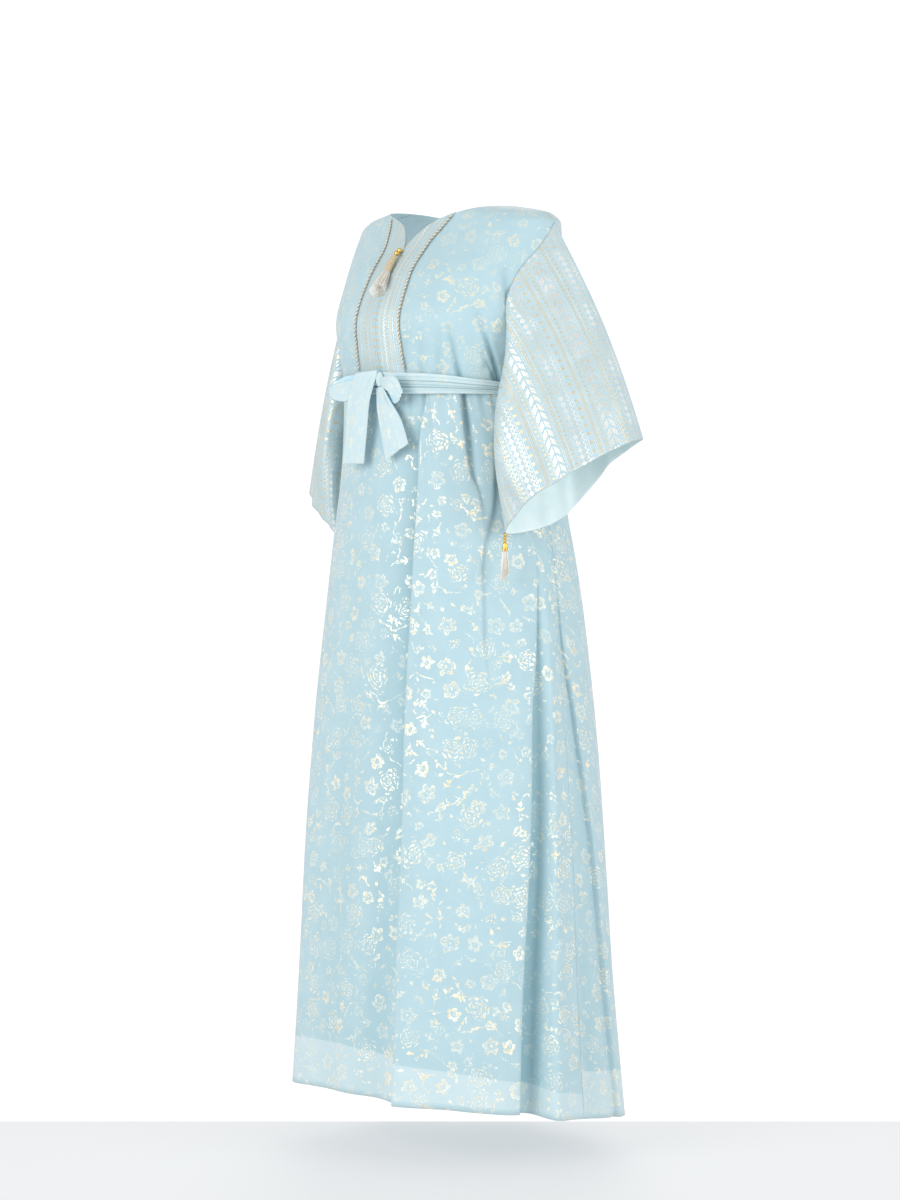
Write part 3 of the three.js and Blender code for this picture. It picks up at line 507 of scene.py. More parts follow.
def crinkle(shader, place):
    """Height of the crepe weave: fine threads both ways and a soft irregular crinkle."""
    threads = shader.add("ShaderNodeSeparateXYZ", {}, {"Vector": place})
    weave = (threads * 5200.0).sine() * (threads.out("Y") * 5200.0).sine()
    return weave * 0.25 + shader.noise(place, 260.0, 2.0, "2D") + shader.noise(place, 55.0, 1.0, "2D") * 1.4


def flat_cloth_place(shader):
    return shader.add("ShaderNodeUVMap", {"uv_map": "cloth"}, {})


def printed_chiffon(name, strength, gleam, pale, hem_band):
    """Printed chiffon, with the strength of its foil, the share of it that gets a painted white glint and
    how pale its ground is. Where it lies deep in a fold or crease its ground takes a painted shade and its
    foil is painted dimmer. Below the hem of its lining it is sheerer and paler, with a stitched hem."""
    shader = Shader(name, Sheen_Weight=0.45, Sheen_Roughness=0.4, Specular_IOR_Level=0.25)
    place = flat_cloth_place(shader)
    foil = flower_foil(shader, place) * strength
    mottle = shader.noise(place, 22.0, 2.0, "2D").rise(0.3, 0.7)
    deep = shader.add("ShaderNodeAttribute", {"attribute_name": "deep"}, {}).out("Fac")
    ground = shader.mix(pale, shader.mix(mottle * 0.5, CHIFFON_COLOUR, CHIFFON_SHADE), CHIFFON_PALE)
    # Painted shade: the ground darkens where the cloth lies deep in a fold or crease.
    ground = shader.mix(deep * 0.75, ground, PAINTED_FOLD_SHADE)
    if hem_band:
        edge = shader.add("ShaderNodeAttribute", {"attribute_name": "edge"}, {}).out("Fac")
        across = shader.add("ShaderNodeSeparateXYZ", {}, {"Vector": place}) * (1 / MM)
        sheer = (SHEER_BAND - across.larger(SHEER_FALL_FROM) * SHEER_FALL - edge).rise(0, 2)
        ground = shader.mix(sheer * 0.27, ground, SHEER_COLOUR)
        fold = (HEM_FOLD - edge).rise(0, 1)
        stitch_line = (1.2 - abs(edge - HEM_FOLD)).rise(0, 0.6)
        ground = shader.mix(fold * 0.3 + stitch_line * 0.25, ground, STITCHED_COLOUR)
    # Painted highlight: noise turns patches of the foil white, as if glinting, by the share in gleam.
    glint = shader.noise(place, 95.0, 1.0, "2D").rise(0.35, 0.65) * gleam
    foil_colour = shader.mix(glint, FOIL_COLOUR, FOIL_PAINTED_GLINT)
    # The foil is dimmed there too, as part of the painted shade.
    shader.set(Base_Color=shader.mix(foil * (1 - deep * 0.6), ground, foil_colour))
    shader.set(Metallic=foil * 0.45, Roughness=0.72 - foil * 0.4)
    shader.set(Normal=shader.bump(crinkle(shader, place) + foil * 0.3, 0.25 * MM, 0.6))
    return shader.material


def plain_cloth(name, colour, shade):
    """Smooth unprinted cloth, as of linings and the wrong side of the print. It is thin, and a painted glow
    in its own colour stands in for the light that comes through it."""
    shader = Shader(name, Sheen_Weight=0.2, Sheen_Roughness=0.5, Specular_IOR_Level=0.25)
    # Painted light: a faint glow in the cloth's own colour, though it is no lamp.
    shader.set(Emission_Color=colour, Emission_Strength=PAINTED_CLOTH_GLOW)
    place = flat_cloth_place(shader)
    mottle = shader.noise(place, 30.0, 2.0, "2D").rise(0.3, 0.7)
    shader.set(Base_Color=shader.mix(mottle, colour, shade), Roughness=0.75 + mottle * 0.08)
    shader.set(Normal=shader.bump(crinkle(shader, place), 0.2 * MM, 0.5))
    return shader.material


bodice_chiffon = printed_chiffon("printed chiffon of the bodice", 0.66, 0.22, 0.0, False)
skirt_chiffon = printed_chiffon("printed chiffon of the skirt", 1.0, 1.0, 0.0, True)
lining_cloth = plain_cloth("lining cloth", (0.74, 0.85, 0.88, 1), (0.68, 0.81, 0.85, 1))


# The bodice: two fronts that meet at the centre below the neck slit, and a back, of printed chiffon cut with
# an armhole and a shallow neck, sewn together at shoulders and sides and drawn in at the waist.
NECK_POINT_X = 115
SHOULDER_TIP_Z = -30
UNDERARM_Z = -245
ARMHOLE_CUT_IN = 19
BACK_NECK_DROP = 20
NECK_SLIT_Z = -68
PANEL_TOP_X = 71
NECKLINE = np.array([(0, -68), (8, -53), (22, -36), (42, -23), (60, -16), (85, -8), (115, 0)])
PANEL_EDGE = np.array([(-292, 51), (-140, 46), (-100, 44), (-66, 47), (-40, 57), (-10, 72)])
# Soft creases of the bodice: bearing and level of both ends, depth (or height, when negative), half width.
BODICE_CREASES = [
    (42, -196, 51, -286, 8.0, 4.5),
    (57, -176, 81, -292, 9.5, 4.5),
    (64, -236, 77, -288, 7.5, 4),
    (52, -196, 63, -250, -4.0, 8),
    (61, -212, 70, -262, -4.0, 6),
    (64, -105, 73, -155, 6.0, 6),
    (58, -110, 66, -160, -3.0, 9),
    (18, -185, 17, -289, 2.2, 5),
    (27, -195, 26, -289, 3.0, 5),
    (37, -200, 37, -289, 3.6, 5),
    (32, -205, 31, -289, -1.6, 5),
    (86, -225, 92, -290, 6.0, 5),
    (-20, -200, -18, -289, 2.4, 5),
    (-38, -215, -36, -289, 3.6, 6),
    (-56, -215, -54, -289, 4.8, 6),
    (-74, -205, -80, -290, 6.0, 6),
    (-72, -125, -79, -190, 5.0, 8),
    (112, -205, 104, -290, 6.0, 6),
    (134, -220, 130, -290, 4.8, 6),
    (156, -205, 158, -290, 3.8, 7),
    (180, -225, 181, -290, 3.6, 6),
    (206, -210, 203, -290, 4.4, 7),
    (232, -220, 236, -290, 5.0, 6),
    (252, -200, 258, -290, 6.0, 6),
    (150, -90, 118, -150, 3.2, 12),
    (210, -90, 242, -150, 3.2, 12),
]
CREASE_RADIUS = 160
CREASE_SHADED = 7
# Ripples of the bodice: height, length of a degree round it, level where they start and fade below it.
RIPPLE_HEIGHT = 0.8
RIPPLE_DEGREE = 2.8
RIPPLE_TOP_Z = -25
RIPPLE_FADE = 60


def creased(bearing, z, creases):
    """How far creases push the cloth out: less its depth times a bell curve of the distance from the line
    between its ends, which are soft."""
    moved = np.zeros(np.broadcast(bearing, z).shape)
    for b0, z0, b1, z1, depth, half in creases:
        k = math.radians(CREASE_RADIUS)
        gap = (np.asarray(bearing) - b0 + 180) % 360 - 180
        line = np.array([(b1 - b0) * k, z1 - z0])
        reach = line @ line
        share = np.clip((gap * k * line[0] + (z - z0) * line[1]) / reach, 0, 1)
        away = np.hypot(gap * k - share * line[0], z - z0 - share * line[1])
        soft = 0.35 + 0.65 * share if z1 < z0 else 1
        moved -= depth * soft * np.exp(-(away / half) ** 2)
    return moved


def soft_ripples(s, t, size):
    """Small uneven undulations of limp cloth: a sum of four long waves that cross."""
    return size * (
        np.sin(s / 21 + 1.3 * np.sin(t / 90)) * 0.5
        + np.sin(s / 13 + t / 150 + 2) * 0.3
        + np.sin(s / 34 - t / 110 + 4) * 0.6
        + np.sin(s / 8.5 + t / 210) * 0.15
    )


def armhole_bearing(z):
    """The armhole's edge: 90 degrees less a half wave between shoulder tip and underarm."""
    t = np.clip((SHOULDER_TIP_Z - z) / (SHOULDER_TIP_Z - UNDERARM_Z), 0, 1)
    return 90 - ARMHOLE_CUT_IN * np.sin(np.pi * t) ** 0.8


def armhole_z(turn):
    return UNDERARM_Z + (SHOULDER_TIP_Z - UNDERARM_Z) * (0.5 + 0.5 * np.cos(np.radians(turn)))


def between(a, b, t):
    return a + (b - a) * t


def neck_at(x):
    return join(x, curve(NECKLINE[:, 0], NECKLINE[:, 1], x))


def shoulder_at(t):
    z = SHOULDER_TIP_Z * t ** 1.6
    return join(section(z)[0], z)


def panel_edge(v):
    z = between(neck_at(PANEL_TOP_X)[1], WAIST_SEAM_Z, v)
    return join(curve(PANEL_EDGE[:, 0], PANEL_EDGE[:, 1], z), z)


def down_the_side(v):
    z = between(SHOULDER_TIP_Z, WAIST_SEAM_Z, v)
    return join(section(z)[0] * np.sin(np.radians(armhole_bearing(z))), z)


def patch(top, bottom, left, right, u, v):
    """The blend of four edges: both ruled surfaces between facing edges, less the one of the corners."""
    u, v = u[:, None, None], v[None, :, None]
    ruled = (1 - v) * top[:, None] + v * bottom[:, None] + (1 - u) * left[None] + u * right[None]
    corners = (1 - u) * ((1 - v) * top[0] + v * bottom[0]) + u * ((1 - v) * top[-1] + v * bottom[-1])
    return ruled - corners


def to_bearing(flat):
    x, z = flat[..., 0], flat[..., 1]
    return np.degrees(np.arcsin(np.minimum(1, x / section(z)[0]))), z


side_levels = armhole_z(np.linspace(0, 180, 81))
side_levels = np.concatenate([side_levels, np.linspace(UNDERARM_Z, WAIST_SEAM_Z, 25)[1:]])
row_share = (side_levels - SHOULDER_TIP_Z) / (WAIST_SEAM_Z - SHOULDER_TIP_Z)
waist_side = float(section(WAIST_SEAM_Z)[0])
PANEL_COLUMNS = 18
SIDE_COLUMNS = 100
BACK_COLUMNS = 90

across_panel = np.linspace(0, 1, PANEL_COLUMNS)
panel_flat = patch(
    neck_at(PANEL_TOP_X * across_panel),
    join(panel_edge(1)[0] * across_panel, WAIST_SEAM_Z),
    join(0, between(NECK_SLIT_Z, WAIST_SEAM_Z, row_share)),
    panel_edge(row_share),
    across_panel,
    row_share,
)
across_side = np.linspace(0, 1, SIDE_COLUMNS)
first_bearing = np.degrees(np.arcsin(panel_edge(1)[0] / waist_side))
sine = np.sin(np.radians(between(first_bearing, 90, across_side)))
neck_part = across_side <= 1 / 3
side_top = np.where(
    neck_part[:, None],
    neck_at(between(PANEL_TOP_X, NECK_POINT_X, np.minimum(1, across_side * 3))),
    shoulder_at(np.maximum(0, across_side * 1.5 - 0.5)),
)
side_flat = patch(
    side_top,
    join(waist_side * sine, WAIST_SEAM_Z),
    panel_edge(row_share),
    down_the_side(row_share),
    (sine - sine[0]) / (1 - sine[0]),
    row_share,
)
panel_bearing, panel_z = to_bearing(panel_flat)
front_bearing, front_z = to_bearing(np.concatenate([panel_flat, side_flat[1:]]))

across_back = np.linspace(0, 1, BACK_COLUMNS)
over_neck = np.minimum(1, across_back * 2)
back_top = np.where(
    (across_back > 0.5)[:, None],
    shoulder_at(np.maximum(0, across_back * 2 - 1)),
    join(NECK_POINT_X * over_neck, -BACK_NECK_DROP * (1 - over_neck ** 2)),
)
back_sine = np.sin(np.radians(90 * across_back))
back_flat = patch(
    back_top,
    join(waist_side * back_sine, WAIST_SEAM_Z),
    join(0, between(-BACK_NECK_DROP, WAIST_SEAM_Z, row_share)),
    down_the_side(row_share),
    back_sine,
    row_share,
)
back_bearing, back_z = to_bearing(back_flat)
back_bearing = 180 - back_bearing


def body_cloth(bearing, z):
    """Points and normals of the bodice with its creases, and how deep each point lies in them."""
    points = body(bearing, z)
    inside = join(0, section(z)[3], z - 40)
    normals = facing(points, inside)
    fading = np.clip((RIPPLE_TOP_Z - z) / RIPPLE_FADE, 0, 1)
    creases = creased(bearing, z, BODICE_CREASES)
    out = creases + fading * soft_ripples(bearing * RIPPLE_DEGREE, z, RIPPLE_HEIGHT)
    points = points + normals * out[..., None]
    # How deep each point lies in a crease sets its painted shade.
    return points, facing(points, inside), np.clip(-creases / CREASE_SHADED, 0, 1)


for hand, side_name in ((1, "left"), (-1, "right")):
    points, normals, deep = body_cloth(hand * front_bearing, front_z)
    place = flat_place(points, 0) * np.array([hand, 1])
    faces = [bodice_chiffon, lining_cloth]
    front = cloth(f"front_{side_name}_cloth", points, normals, place, faces, deep=deep)
    fit(front, "printed_cloth", f"bodice_front_{side_name}")

whole_back_bearing = np.concatenate([back_bearing[:0:-1], 360 - back_bearing])
whole_back_z = np.concatenate([back_z[:0:-1], back_z])
points, normals, deep = body_cloth(whole_back_bearing, whole_back_z)
place = flat_place(points, len(back_z) - 1)
back = cloth("back_cloth", points, normals, place, faces, deep=deep)
fit(back, "printed_cloth", "bodice_back")


# The foil striped cloth of sleeves and front panel: pale cloth printed with columns of silver and gold foil,
# as lines, dashes, squares, lozenges, zigzags and pairs of leaves, over a repeat of 96 mm.
STRIPED_COLOUR = (0.43, 0.60, 0.67, 1)
STRIPED_SHADE = (0.37, 0.54, 0.61, 1)
SILVER_FOIL = (0.96, 0.96, 0.93, 1)
GOLD_FOIL = (0.82, 0.66, 0.40, 1)
SLEEVE_REPEAT = 96
# Middle, width, kind, pitch and foil of each column.
SLEEVE_COLUMNS = [
    (9, 17, "leaves", 15, "silver"),
    (19, 1.6, "dashes", 5, "silver"),
    (21.4, 1.0, "line", 0, "gold"),
    (24.6, 3.8, "squares", 8, "gold"),
    (28, 1.0, "dashes", 3, "silver"),
    (30.4, 1.2, "line", 0, "silver"),
    (34.6, 5.6, "grain", 3, "gold"),
    (39.4, 1.4, "dashes", 4, "silver"),
    (41.6, 0.9, "line", 0, "gold"),
    (45.4, 5.0, "squares", 14, "gold"),
    (49.4, 1.2, "line", 0, "silver"),
    (52, 1.6, "dashes", 5, "silver"),
    (56, 4.0, "zigzag", 8, "silver"),
    (60, 1.2, "line", 0, "gold"),
    (67, 9.5, "lozenges", 11, "silver"),
    (73.4, 1.4, "dashes", 4, "silver"),
    (75.8, 1.0, "line", 0, "gold"),
    (79.6, 3.8, "squares", 8, "gold"),
    (83.2, 1.2, "line", 0, "silver"),
    (87.6, 4.4, "zigzag", 7, "gold"),
    (91.2, 1.0, "line", 0, "silver"),
    (93.8, 1.6, "dashes", 6, "silver"),
]


def column_foil(kind, width, pitch, x, t):
    """Foil of one column, by the distance from its middle and the way along it."""
    half = width / 2
    band = (half - abs(x)).rise(0, 0.5)
    if kind == "line":
        return band
    step = abs(t.maths("FLOORED_MODULO", pitch) - pitch / 2)
    if kind == "dashes":
        return band * (0.34 * pitch - step).rise(0, 0.5)
    if kind == "squares":
        return band * (half - step).rise(0, 0.5)
    if kind == "lozenges":
        return (half - abs(x) - step * (width / pitch)).rise(0, 0.7)
    if kind == "zigzag":
        return (1.5 - abs(x - (step * (2 * width / pitch) - half))).rise(0, 0.7)
    if kind == "grain":
        return band * ((x * 3.4).sine() * (t * (2 * math.pi / pitch)).sine()).rise(-0.3, 0.2)
    slanted = (t + abs(x) * 1.1).maths("FLOORED_MODULO", pitch)
    leaf = (0.36 * pitch - abs(slanted - pitch / 2)).rise(0, 0.8)
    return band * leaf * (abs(x) - 0.7).rise(0, 0.6)


def striped_foil_cloth(name, columns, repeat, glitter):
    """Cloth with foil columns that follow its flat place: across for the column, up for the way along. Fine
    broken lines of glitter fill the ground between them."""
    shader = Shader(name, Sheen_Weight=0.2, Sheen_Roughness=0.4, Specular_IOR_Level=0.3)
    place = flat_cloth_place(shader)
    parts = shader.add("ShaderNodeSeparateXYZ", {}, {"Vector": place})
    across = parts * (1 / MM)
    along = parts.out("Y") * (1 / MM)
    fine_lines = (across * (2 * math.pi / 3.2)).sine().rise(-0.2, 0.5)
    across = across.maths("FLOORED_MODULO", repeat) if repeat else abs(across)
    foils = {"silver": None, "gold": None}
    for middle, width, kind, pitch, foil in columns:
        shown = column_foil(kind, width, pitch, across - middle, along)
        foils[foil] = shown if foils[foil] is None else foils[foil].larger(shown)
    worn = shader.noise(place, 480.0, 1.0, "2D").rise(0.32, 0.5) * 0.6 + 0.4
    specks = shader.noise(place, 900.0, 1.0, "2D").rise(0.46, 0.56) * fine_lines * glitter
    silver = foils["silver"].larger(specks) * worn
    gold = foils["gold"].larger(specks * 0.6) * worn
    mottle = shader.noise(place, 40.0, 2.0, "2D").rise(0.3, 0.7)
    ground = shader.mix(mottle * 0.6, STRIPED_COLOUR, STRIPED_SHADE)
    # Painted highlight: noise makes patches of the silver foil glint white and leaves the rest a duller
    # grey.
    glint = shader.noise(place, 17.0, 1.0, "2D").rise(0.4, 0.6)
    silver_with_painted_glint = shader.mix(glint, SILVER_FOIL, (0.74, 0.74, 0.68, 1))
    colour = shader.mix(gold, shader.mix(silver, ground, silver_with_painted_glint), GOLD_FOIL)
    foil = silver.larger(gold)
    shader.set(Base_Color=colour, Metallic=foil * 0.8, Roughness=0.68 - foil * 0.4)
    shader.set(Normal=shader.bump(crinkle(shader, place) + foil * 0.5, 0.25 * MM, 0.7))
    return shader.material


sleeve_cloth = striped_foil_cloth("striped foil cloth of the sleeves", SLEEVE_COLUMNS, SLEEVE_REPEAT, 0.4)
sleeve_inside = plain_cloth("wrong side of the sleeve", (0.66, 0.77, 0.78, 1), (0.60, 0.73, 0.75, 1))


# The front panel: two strips of the striped cloth laid on the fronts and stitched down, from the neckline to
# the waist, open above at the slit. Its columns run up beside the slit and turn out to the neckline.
PANEL_THICKNESS = 1.0
PANEL_OUT = 1.5
PANEL_HALF_WIDTH = 47
PANEL_STRIPES = [
    (4.8, 5.2, "squares", 10.5, "gold"),
    (9.2, 1.2, "line", 0, "silver"),
    (11.8, 1.8, "dashes", 4, "gold"),
    (15.0, 1.2, "line", 0, "gold"),
    (18.4, 2.8, "zigzag", 6, "silver"),
    (21.8, 1.4, "line", 0, "gold"),
    (25.2, 3.8, "squares", 8, "gold"),
    (28.8, 1.6, "dashes", 4, "silver"),
    (32.2, 3.0, "grain", 3, "gold"),
    (36.2, 1.2, "line", 0, "silver"),
    (40.2, 2.6, "squares", 5, "gold"),
    (44.0, 1.4, "dashes", 4, "silver"),
]
panel_cloth = striped_foil_cloth("striped foil cloth of the front panel", PANEL_STRIPES, 0, 0.15)
for hand, side_name in ((1, "left"), (-1, "right")):
    points, normals, _ = body_cloth(hand * panel_bearing, panel_z)
    points = points + normals * PANEL_OUT
    place = flat_place(points, 0)
    place[..., 0] = hand * PANEL_HALF_WIDTH * across_panel[:, None]
    panel = cloth(f"front_panel_{side_name}", points, normals, place, [panel_cloth], PANEL_THICKNESS)
    fit(panel, "striped_cloth", f"plastron_{side_name}")


# Twisted gold braid: a cord of two metallic strands laid along the panel's edge from the neckline to the
# belt and sewn down over the raw edge.
BRAID_STRAND = 1.05
BRAID_LIFT = PANEL_OUT + 1.5
BRAID_TWIST = 6.5
BRAID_END_Z = -258
BRAID_TOP = 0.02


def tubes(name, paths, radii, across, sides, material):
    """Closed tubes along paths, an array of strands by points: at each point a ring of so many sides, whose
    first corner lies on the given way across. The radii may differ from point to point."""
    strands, steps = paths.shape[:2]
    ahead = unit(np.gradient(paths, axis=1))
    first = unit(across - ahead * np.sum(across * ahead, axis=-1, keepdims=True))
    second = np.cross(ahead, first)
    turn = 2 * np.pi * np.arange(sides) / sides
    ring = first[:, :, None] * np.cos(turn)[:, None] + second[:, :, None] * np.sin(turn)[:, None]
    radii = np.broadcast_to(radii, (strands, steps))[..., None, None]
    vertices = (paths[:, :, None] + ring * radii).reshape(-1, 3) * MM
    strand, step, k = np.meshgrid(np.arange(strands), np.arange(steps - 1), np.arange(sides), indexing="ij")

    def corner(step_at, k_at):
        return (strand * steps + step_at) * sides + k_at % sides

    corners = [corner(step, k), corner(step, k + 1), corner(step + 1, k + 1), corner(step + 1, k)]
    faces = np.stack(corners, axis=-1)
    rings = (np.arange(strands)[:, None] * steps + np.array([0, steps - 1])) * sides
    caps = rings[..., None] + np.arange(sides)
    caps[:, 0] = caps[:, 0, ::-1]
    mesh = bpy.data.meshes.new(name)
    mesh.from_pydata(vertices.tolist(), [], faces.reshape(-1, 4).tolist() + caps.reshape(-1, sides).tolist())
    lengths = np.linalg.norm(np.diff(paths, axis=1), axis=-1)
    run = np.cumsum(np.pad(lengths, [(0, 0), (1, 0)]), axis=1)
    way = mesh.attributes.new("edge", "FLOAT", "POINT")
    way.data.foreach_set("value", np.repeat(run.reshape(-1), sides).astype(np.float32))
    own = np.repeat((np.arange(strands) * 0.618034) % 1, steps * sides)
    mesh.attributes.new("strand", "FLOAT", "POINT").data.foreach_set("value", own.astype(np.float32))
    mesh.materials.append(material)
    mesh.polygons.foreach_set("use_smooth", np.ones(len(mesh.polygons), bool))
    mesh.update()
    piece = bpy.data.objects.new(name, mesh)
    scene.collection.objects.link(piece)
    return piece


braid_shader = Shader("twisted gold braid", Specular_IOR_Level=0.5)
braid_place = braid_shader.add("ShaderNodeTexCoord", {}, {}).out("Object")
braid_fibre = braid_shader.noise(braid_place, 900.0, 2.0)
braid_tone = braid_shader.noise(braid_place, 180.0, 1.0).rise(0.35, 0.65)
braid_gold = braid_shader.mix(braid_tone, (0.42, 0.33, 0.19, 1), (0.62, 0.52, 0.34, 1))
braid_pale = braid_shader.add("ShaderNodeAttribute", {"attribute_name": "strand"}, {}).out("Fac") > 0.5
braid_colour = braid_shader.mix(braid_pale, braid_gold, (0.80, 0.82, 0.80, 1))
braid_shader.set(Base_Color=braid_colour, Metallic=0.35 + braid_tone * 0.2)
braid_shader.set(Roughness=0.4 + braid_fibre * 0.2)
braid_shader.set(Normal=braid_shader.bump(braid_fibre, 0.3 * MM, 0.6))

braid_share = (BRAID_END_Z - neck_at(PANEL_TOP_X)[1]) / (WAIST_SEAM_Z - neck_at(PANEL_TOP_X)[1])
for hand, side_name in ((1, "left"), (-1, "right")):
    bearing, z = to_bearing(panel_edge(np.linspace(BRAID_TOP, braid_share, 320)))
    line = body(hand * bearing, z)
    ahead = unit(np.gradient(line, axis=0))
    grid = body(hand * np.stack([bearing - 0.5, bearing, bearing + 0.5]), np.stack([z, z, z]))
    out_way = facing(grid, join(0, section(z)[3], z - 40))[1]
    aside = np.cross(ahead, out_way)
    run = np.cumsum(np.concatenate([[0], np.linalg.norm(np.diff(line, axis=0), axis=-1)]))
    twist = 2 * np.pi * run / BRAID_TWIST + np.array([[0], [np.pi]])
    core = line + out_way * BRAID_LIFT
    offset = out_way * np.cos(twist)[..., None] + aside * np.sin(twist)[..., None]
    strands = core + offset * BRAID_STRAND * 0.85
    braid = tubes(f"braid_cord_{side_name}", strands, BRAID_STRAND, offset, 8, braid_shader.material)
    fit(braid, "braid", f"braid_{side_name}")


# The sleeves: wide funnels of the striped cloth, set into the armholes and sewn along the underarm, with a
# narrow hem. They slant down and out, and their fronts fall forward. Their columns run down the outer arm.
SLEEVE_HEM_LEFT = np.array([
    (372, 30, -368), (356, -52, -396), (318, -106, -434), (268, -124, -468),
    (212, -104, -512), (226, -40, -504), (236, 22, -474), (298, 42, -404),
])
SLEEVE_HEM_RIGHT = np.array([
    (-322, 35, -400), (-304, -35, -428), (-268, -70, -462), (-236, -78, -490),
    (-210, -62, -520), (-226, -8, -512), (-238, 40, -480), (-286, 60, -430),
])
SLEEVE_BULGE = 13
SLEEVE_FRONT_FALL = 34
SLEEVE_FALL_TURN = 150
SLEEVE_FALL_HALF = 42
SLEEVE_FLUTE = 5
SLEEVE_TURNS = np.linspace(180, 540, 181)[:-1]
SLEEVE_ROWS = np.linspace(0, 1, 90)
# Soft creases of a sleeve: turn and share down of both ends, depth and half width in degrees of turn.
SLEEVE_CREASES = [
    (118, 0.05, 92, 1.0, 4.5, 9),
    (58, 0.35, 50, 1.0, 4.0, 8),
    (20, 0.45, 24, 1.0, -3.0, 9),
    (150, 0.2, 140, 1.0, -4.0, 9),
    (300, 0.3, 312, 1.0, 4.0, 9),
    (250, 0.2, 262, 1.0, 4.5, 9),
    (214, 0.1, 222, 1.0, -4.0, 9),
]


def round_table(rows, turn):
    """A smooth closed curve through eight points, by the turn in degrees (Catmull-Rom)."""
    at = (turn % 360) / 360 * len(rows)
    i = np.floor(at).astype(int)
    t = (at - i)[..., None]
    p, q, r, s = (rows[(i + k) % len(rows)] for k in (-1, 0, 1, 2))
    return q + 0.5 * t * (r - p + t * (2 * p - 5 * q + 4 * r - s + t * (3 * (q - r) + s - p)))


def sleeve_form(hand, hem_rows, turn, v):
    """A blend from the armhole to the hem, with a swell on top, a fall in front and flutes at the hem."""
    turn, v = np.broadcast_arrays(turn % 360, v)
    angle = np.radians(turn)
    along = np.sin(np.pi * v)
    lower = 0.5 - 0.5 * np.cos(angle)
    flute = SLEEVE_FLUTE * v * v * np.sin(4 * angle + np.radians(60)) * lower
    swell = SLEEVE_BULGE * along * (1 - lower)
    fall = SLEEVE_FRONT_FALL * along * np.exp(-((turn - SLEEVE_FALL_TURN) / SLEEVE_FALL_HALF) ** 2)
    z = armhole_z(turn)
    edge = armhole_bearing(z)
    armhole = body(hand * np.where(np.sin(angle) >= 0, edge, 180 - edge), z)
    points = between(armhole, round_table(hem_rows, turn), v[..., None])
    return points + join(hand * (swell - 0.25 * fall), -fall - flute, 0.3 * swell)


sleeve_tips = {}
for hand, side_name, hem_rows in ((1, "left", SLEEVE_HEM_LEFT), (-1, "right", SLEEVE_HEM_RIGHT)):
    turn, v = np.meshgrid(SLEEVE_TURNS, SLEEVE_ROWS, indexing="ij")
    points = sleeve_form(hand, hem_rows, turn, v)
    inside = points.mean(axis=0, keepdims=True)
    normals = facing(points, inside, closed=True)
    out = np.zeros(turn.shape)
    for turn0, v0, turn1, v1, depth, half in SLEEVE_CREASES:
        share = np.clip((v - v0) / (v1 - v0), 0, 1)
        away = (turn - between(turn0, turn1, share) + 180) % 360 - 180
        out -= depth * share ** 0.7 * np.exp(-(away / half) ** 2)
    pucker = np.exp(-v / 0.05) * np.sin(np.radians(turn) * 21) * 0.7
    out += pucker * np.minimum(1, v / 0.02) + np.sin(np.radians(turn) * 13 + v * 3) * 0.7 * v
    points = points + normals * out[..., None]
    normals = facing(points, inside, closed=True)
    top_line = points[len(SLEEVE_TURNS) // 2]
    down_way = unit(top_line[-1] - top_line[0])
    steps = np.diff(np.concatenate([points, points[:1]]), axis=0)
    steps = steps - down_way * (steps @ down_way)[..., None]
    across = np.cumsum(np.pad(np.linalg.norm(steps, axis=-1), [(1, 0), (0, 0)]), axis=0)
    across = across - across[len(SLEEVE_TURNS) // 2]
    along = np.concatenate([points, points[:1]]) @ down_way
    place = np.stack([across + SLEEVE_REPEAT / 2, -along], axis=-1)
    faces = [sleeve_cloth, sleeve_inside]
    sleeve = cloth(f"{side_name}_sleeve_cloth", points, normals, place, faces, closed=True)
    fit(sleeve, "striped_cloth", f"sleeve_{side_name}")
    sleeve_tips[side_name] = sleeve_form(hand, hem_rows, np.array(180.0), np.array(1.0))


# The skirt: a front and a back of printed chiffon, flared and gathered into the waist seam under the belt.
# Its folds are crests and troughs that start under the belt, spread to the hem and lean round the dress.
HEM_Z = -1420
HEM_RISE = 30
HEM_RISE_BEARING = -5
SKIRT_TOP_Z = WAIST_SEAM_Z
SKIRT_SEAM_HEM = 92
HEM_RADIUS = 260
BELT_RADIUS = 147
PLEAT_HALF = 7
# Bearing at the hem and under the belt, level of its start, height, half width and lean.
SKIRT_FOLDS = np.array([
    (-165, -158, -320, 14, 42, -8),
    (-143, -128, -380, -14, 38, 0),
    (-120, -93, -430, 18, 42, -14),
    (-100, -89, -520, -12, 34, 0),
    (-78, -85, -400, 15, 34, 10),
    (-60, -70, -360, -14, 32, 0),
    (-38, -42, -330, 13, 42, 8),
    (-14, -14, -360, -8, 40, 0),
    (8, 15, -330, -10, 36, 0),
    (26, 33, -300, 20, 40, -24),
    (46, 52, -380, 5, 34, 0),
    (66, 82, -560, -28, 26, 8),
    (78, 85, -560, 15, 24, -10),
    (99, 87.5, -620, -10, 40, 0),
    (121, 90.5, -480, 9, 42, 12),
    (143, 122, -400, -15, 40, 0),
    (163, 150, -330, 15, 40, 8),
    (181, 178, -360, -12, 36, 0),
], dtype=float)
# Pleats under the belt: bearing, depth and length.
WAIST_PLEATS = [
    (-160, 7, 150), (-132, 6, 90), (-108, 8, 170), (-84, 8, 200), (-52, 6, 110), (-24, 6, 150), (29, 7, 240),
    (39, 5, 50), (51, 9, 180), (84, 9, 230), (112, 7, 160), (139, 7, 110), (168, 6, 140),
]
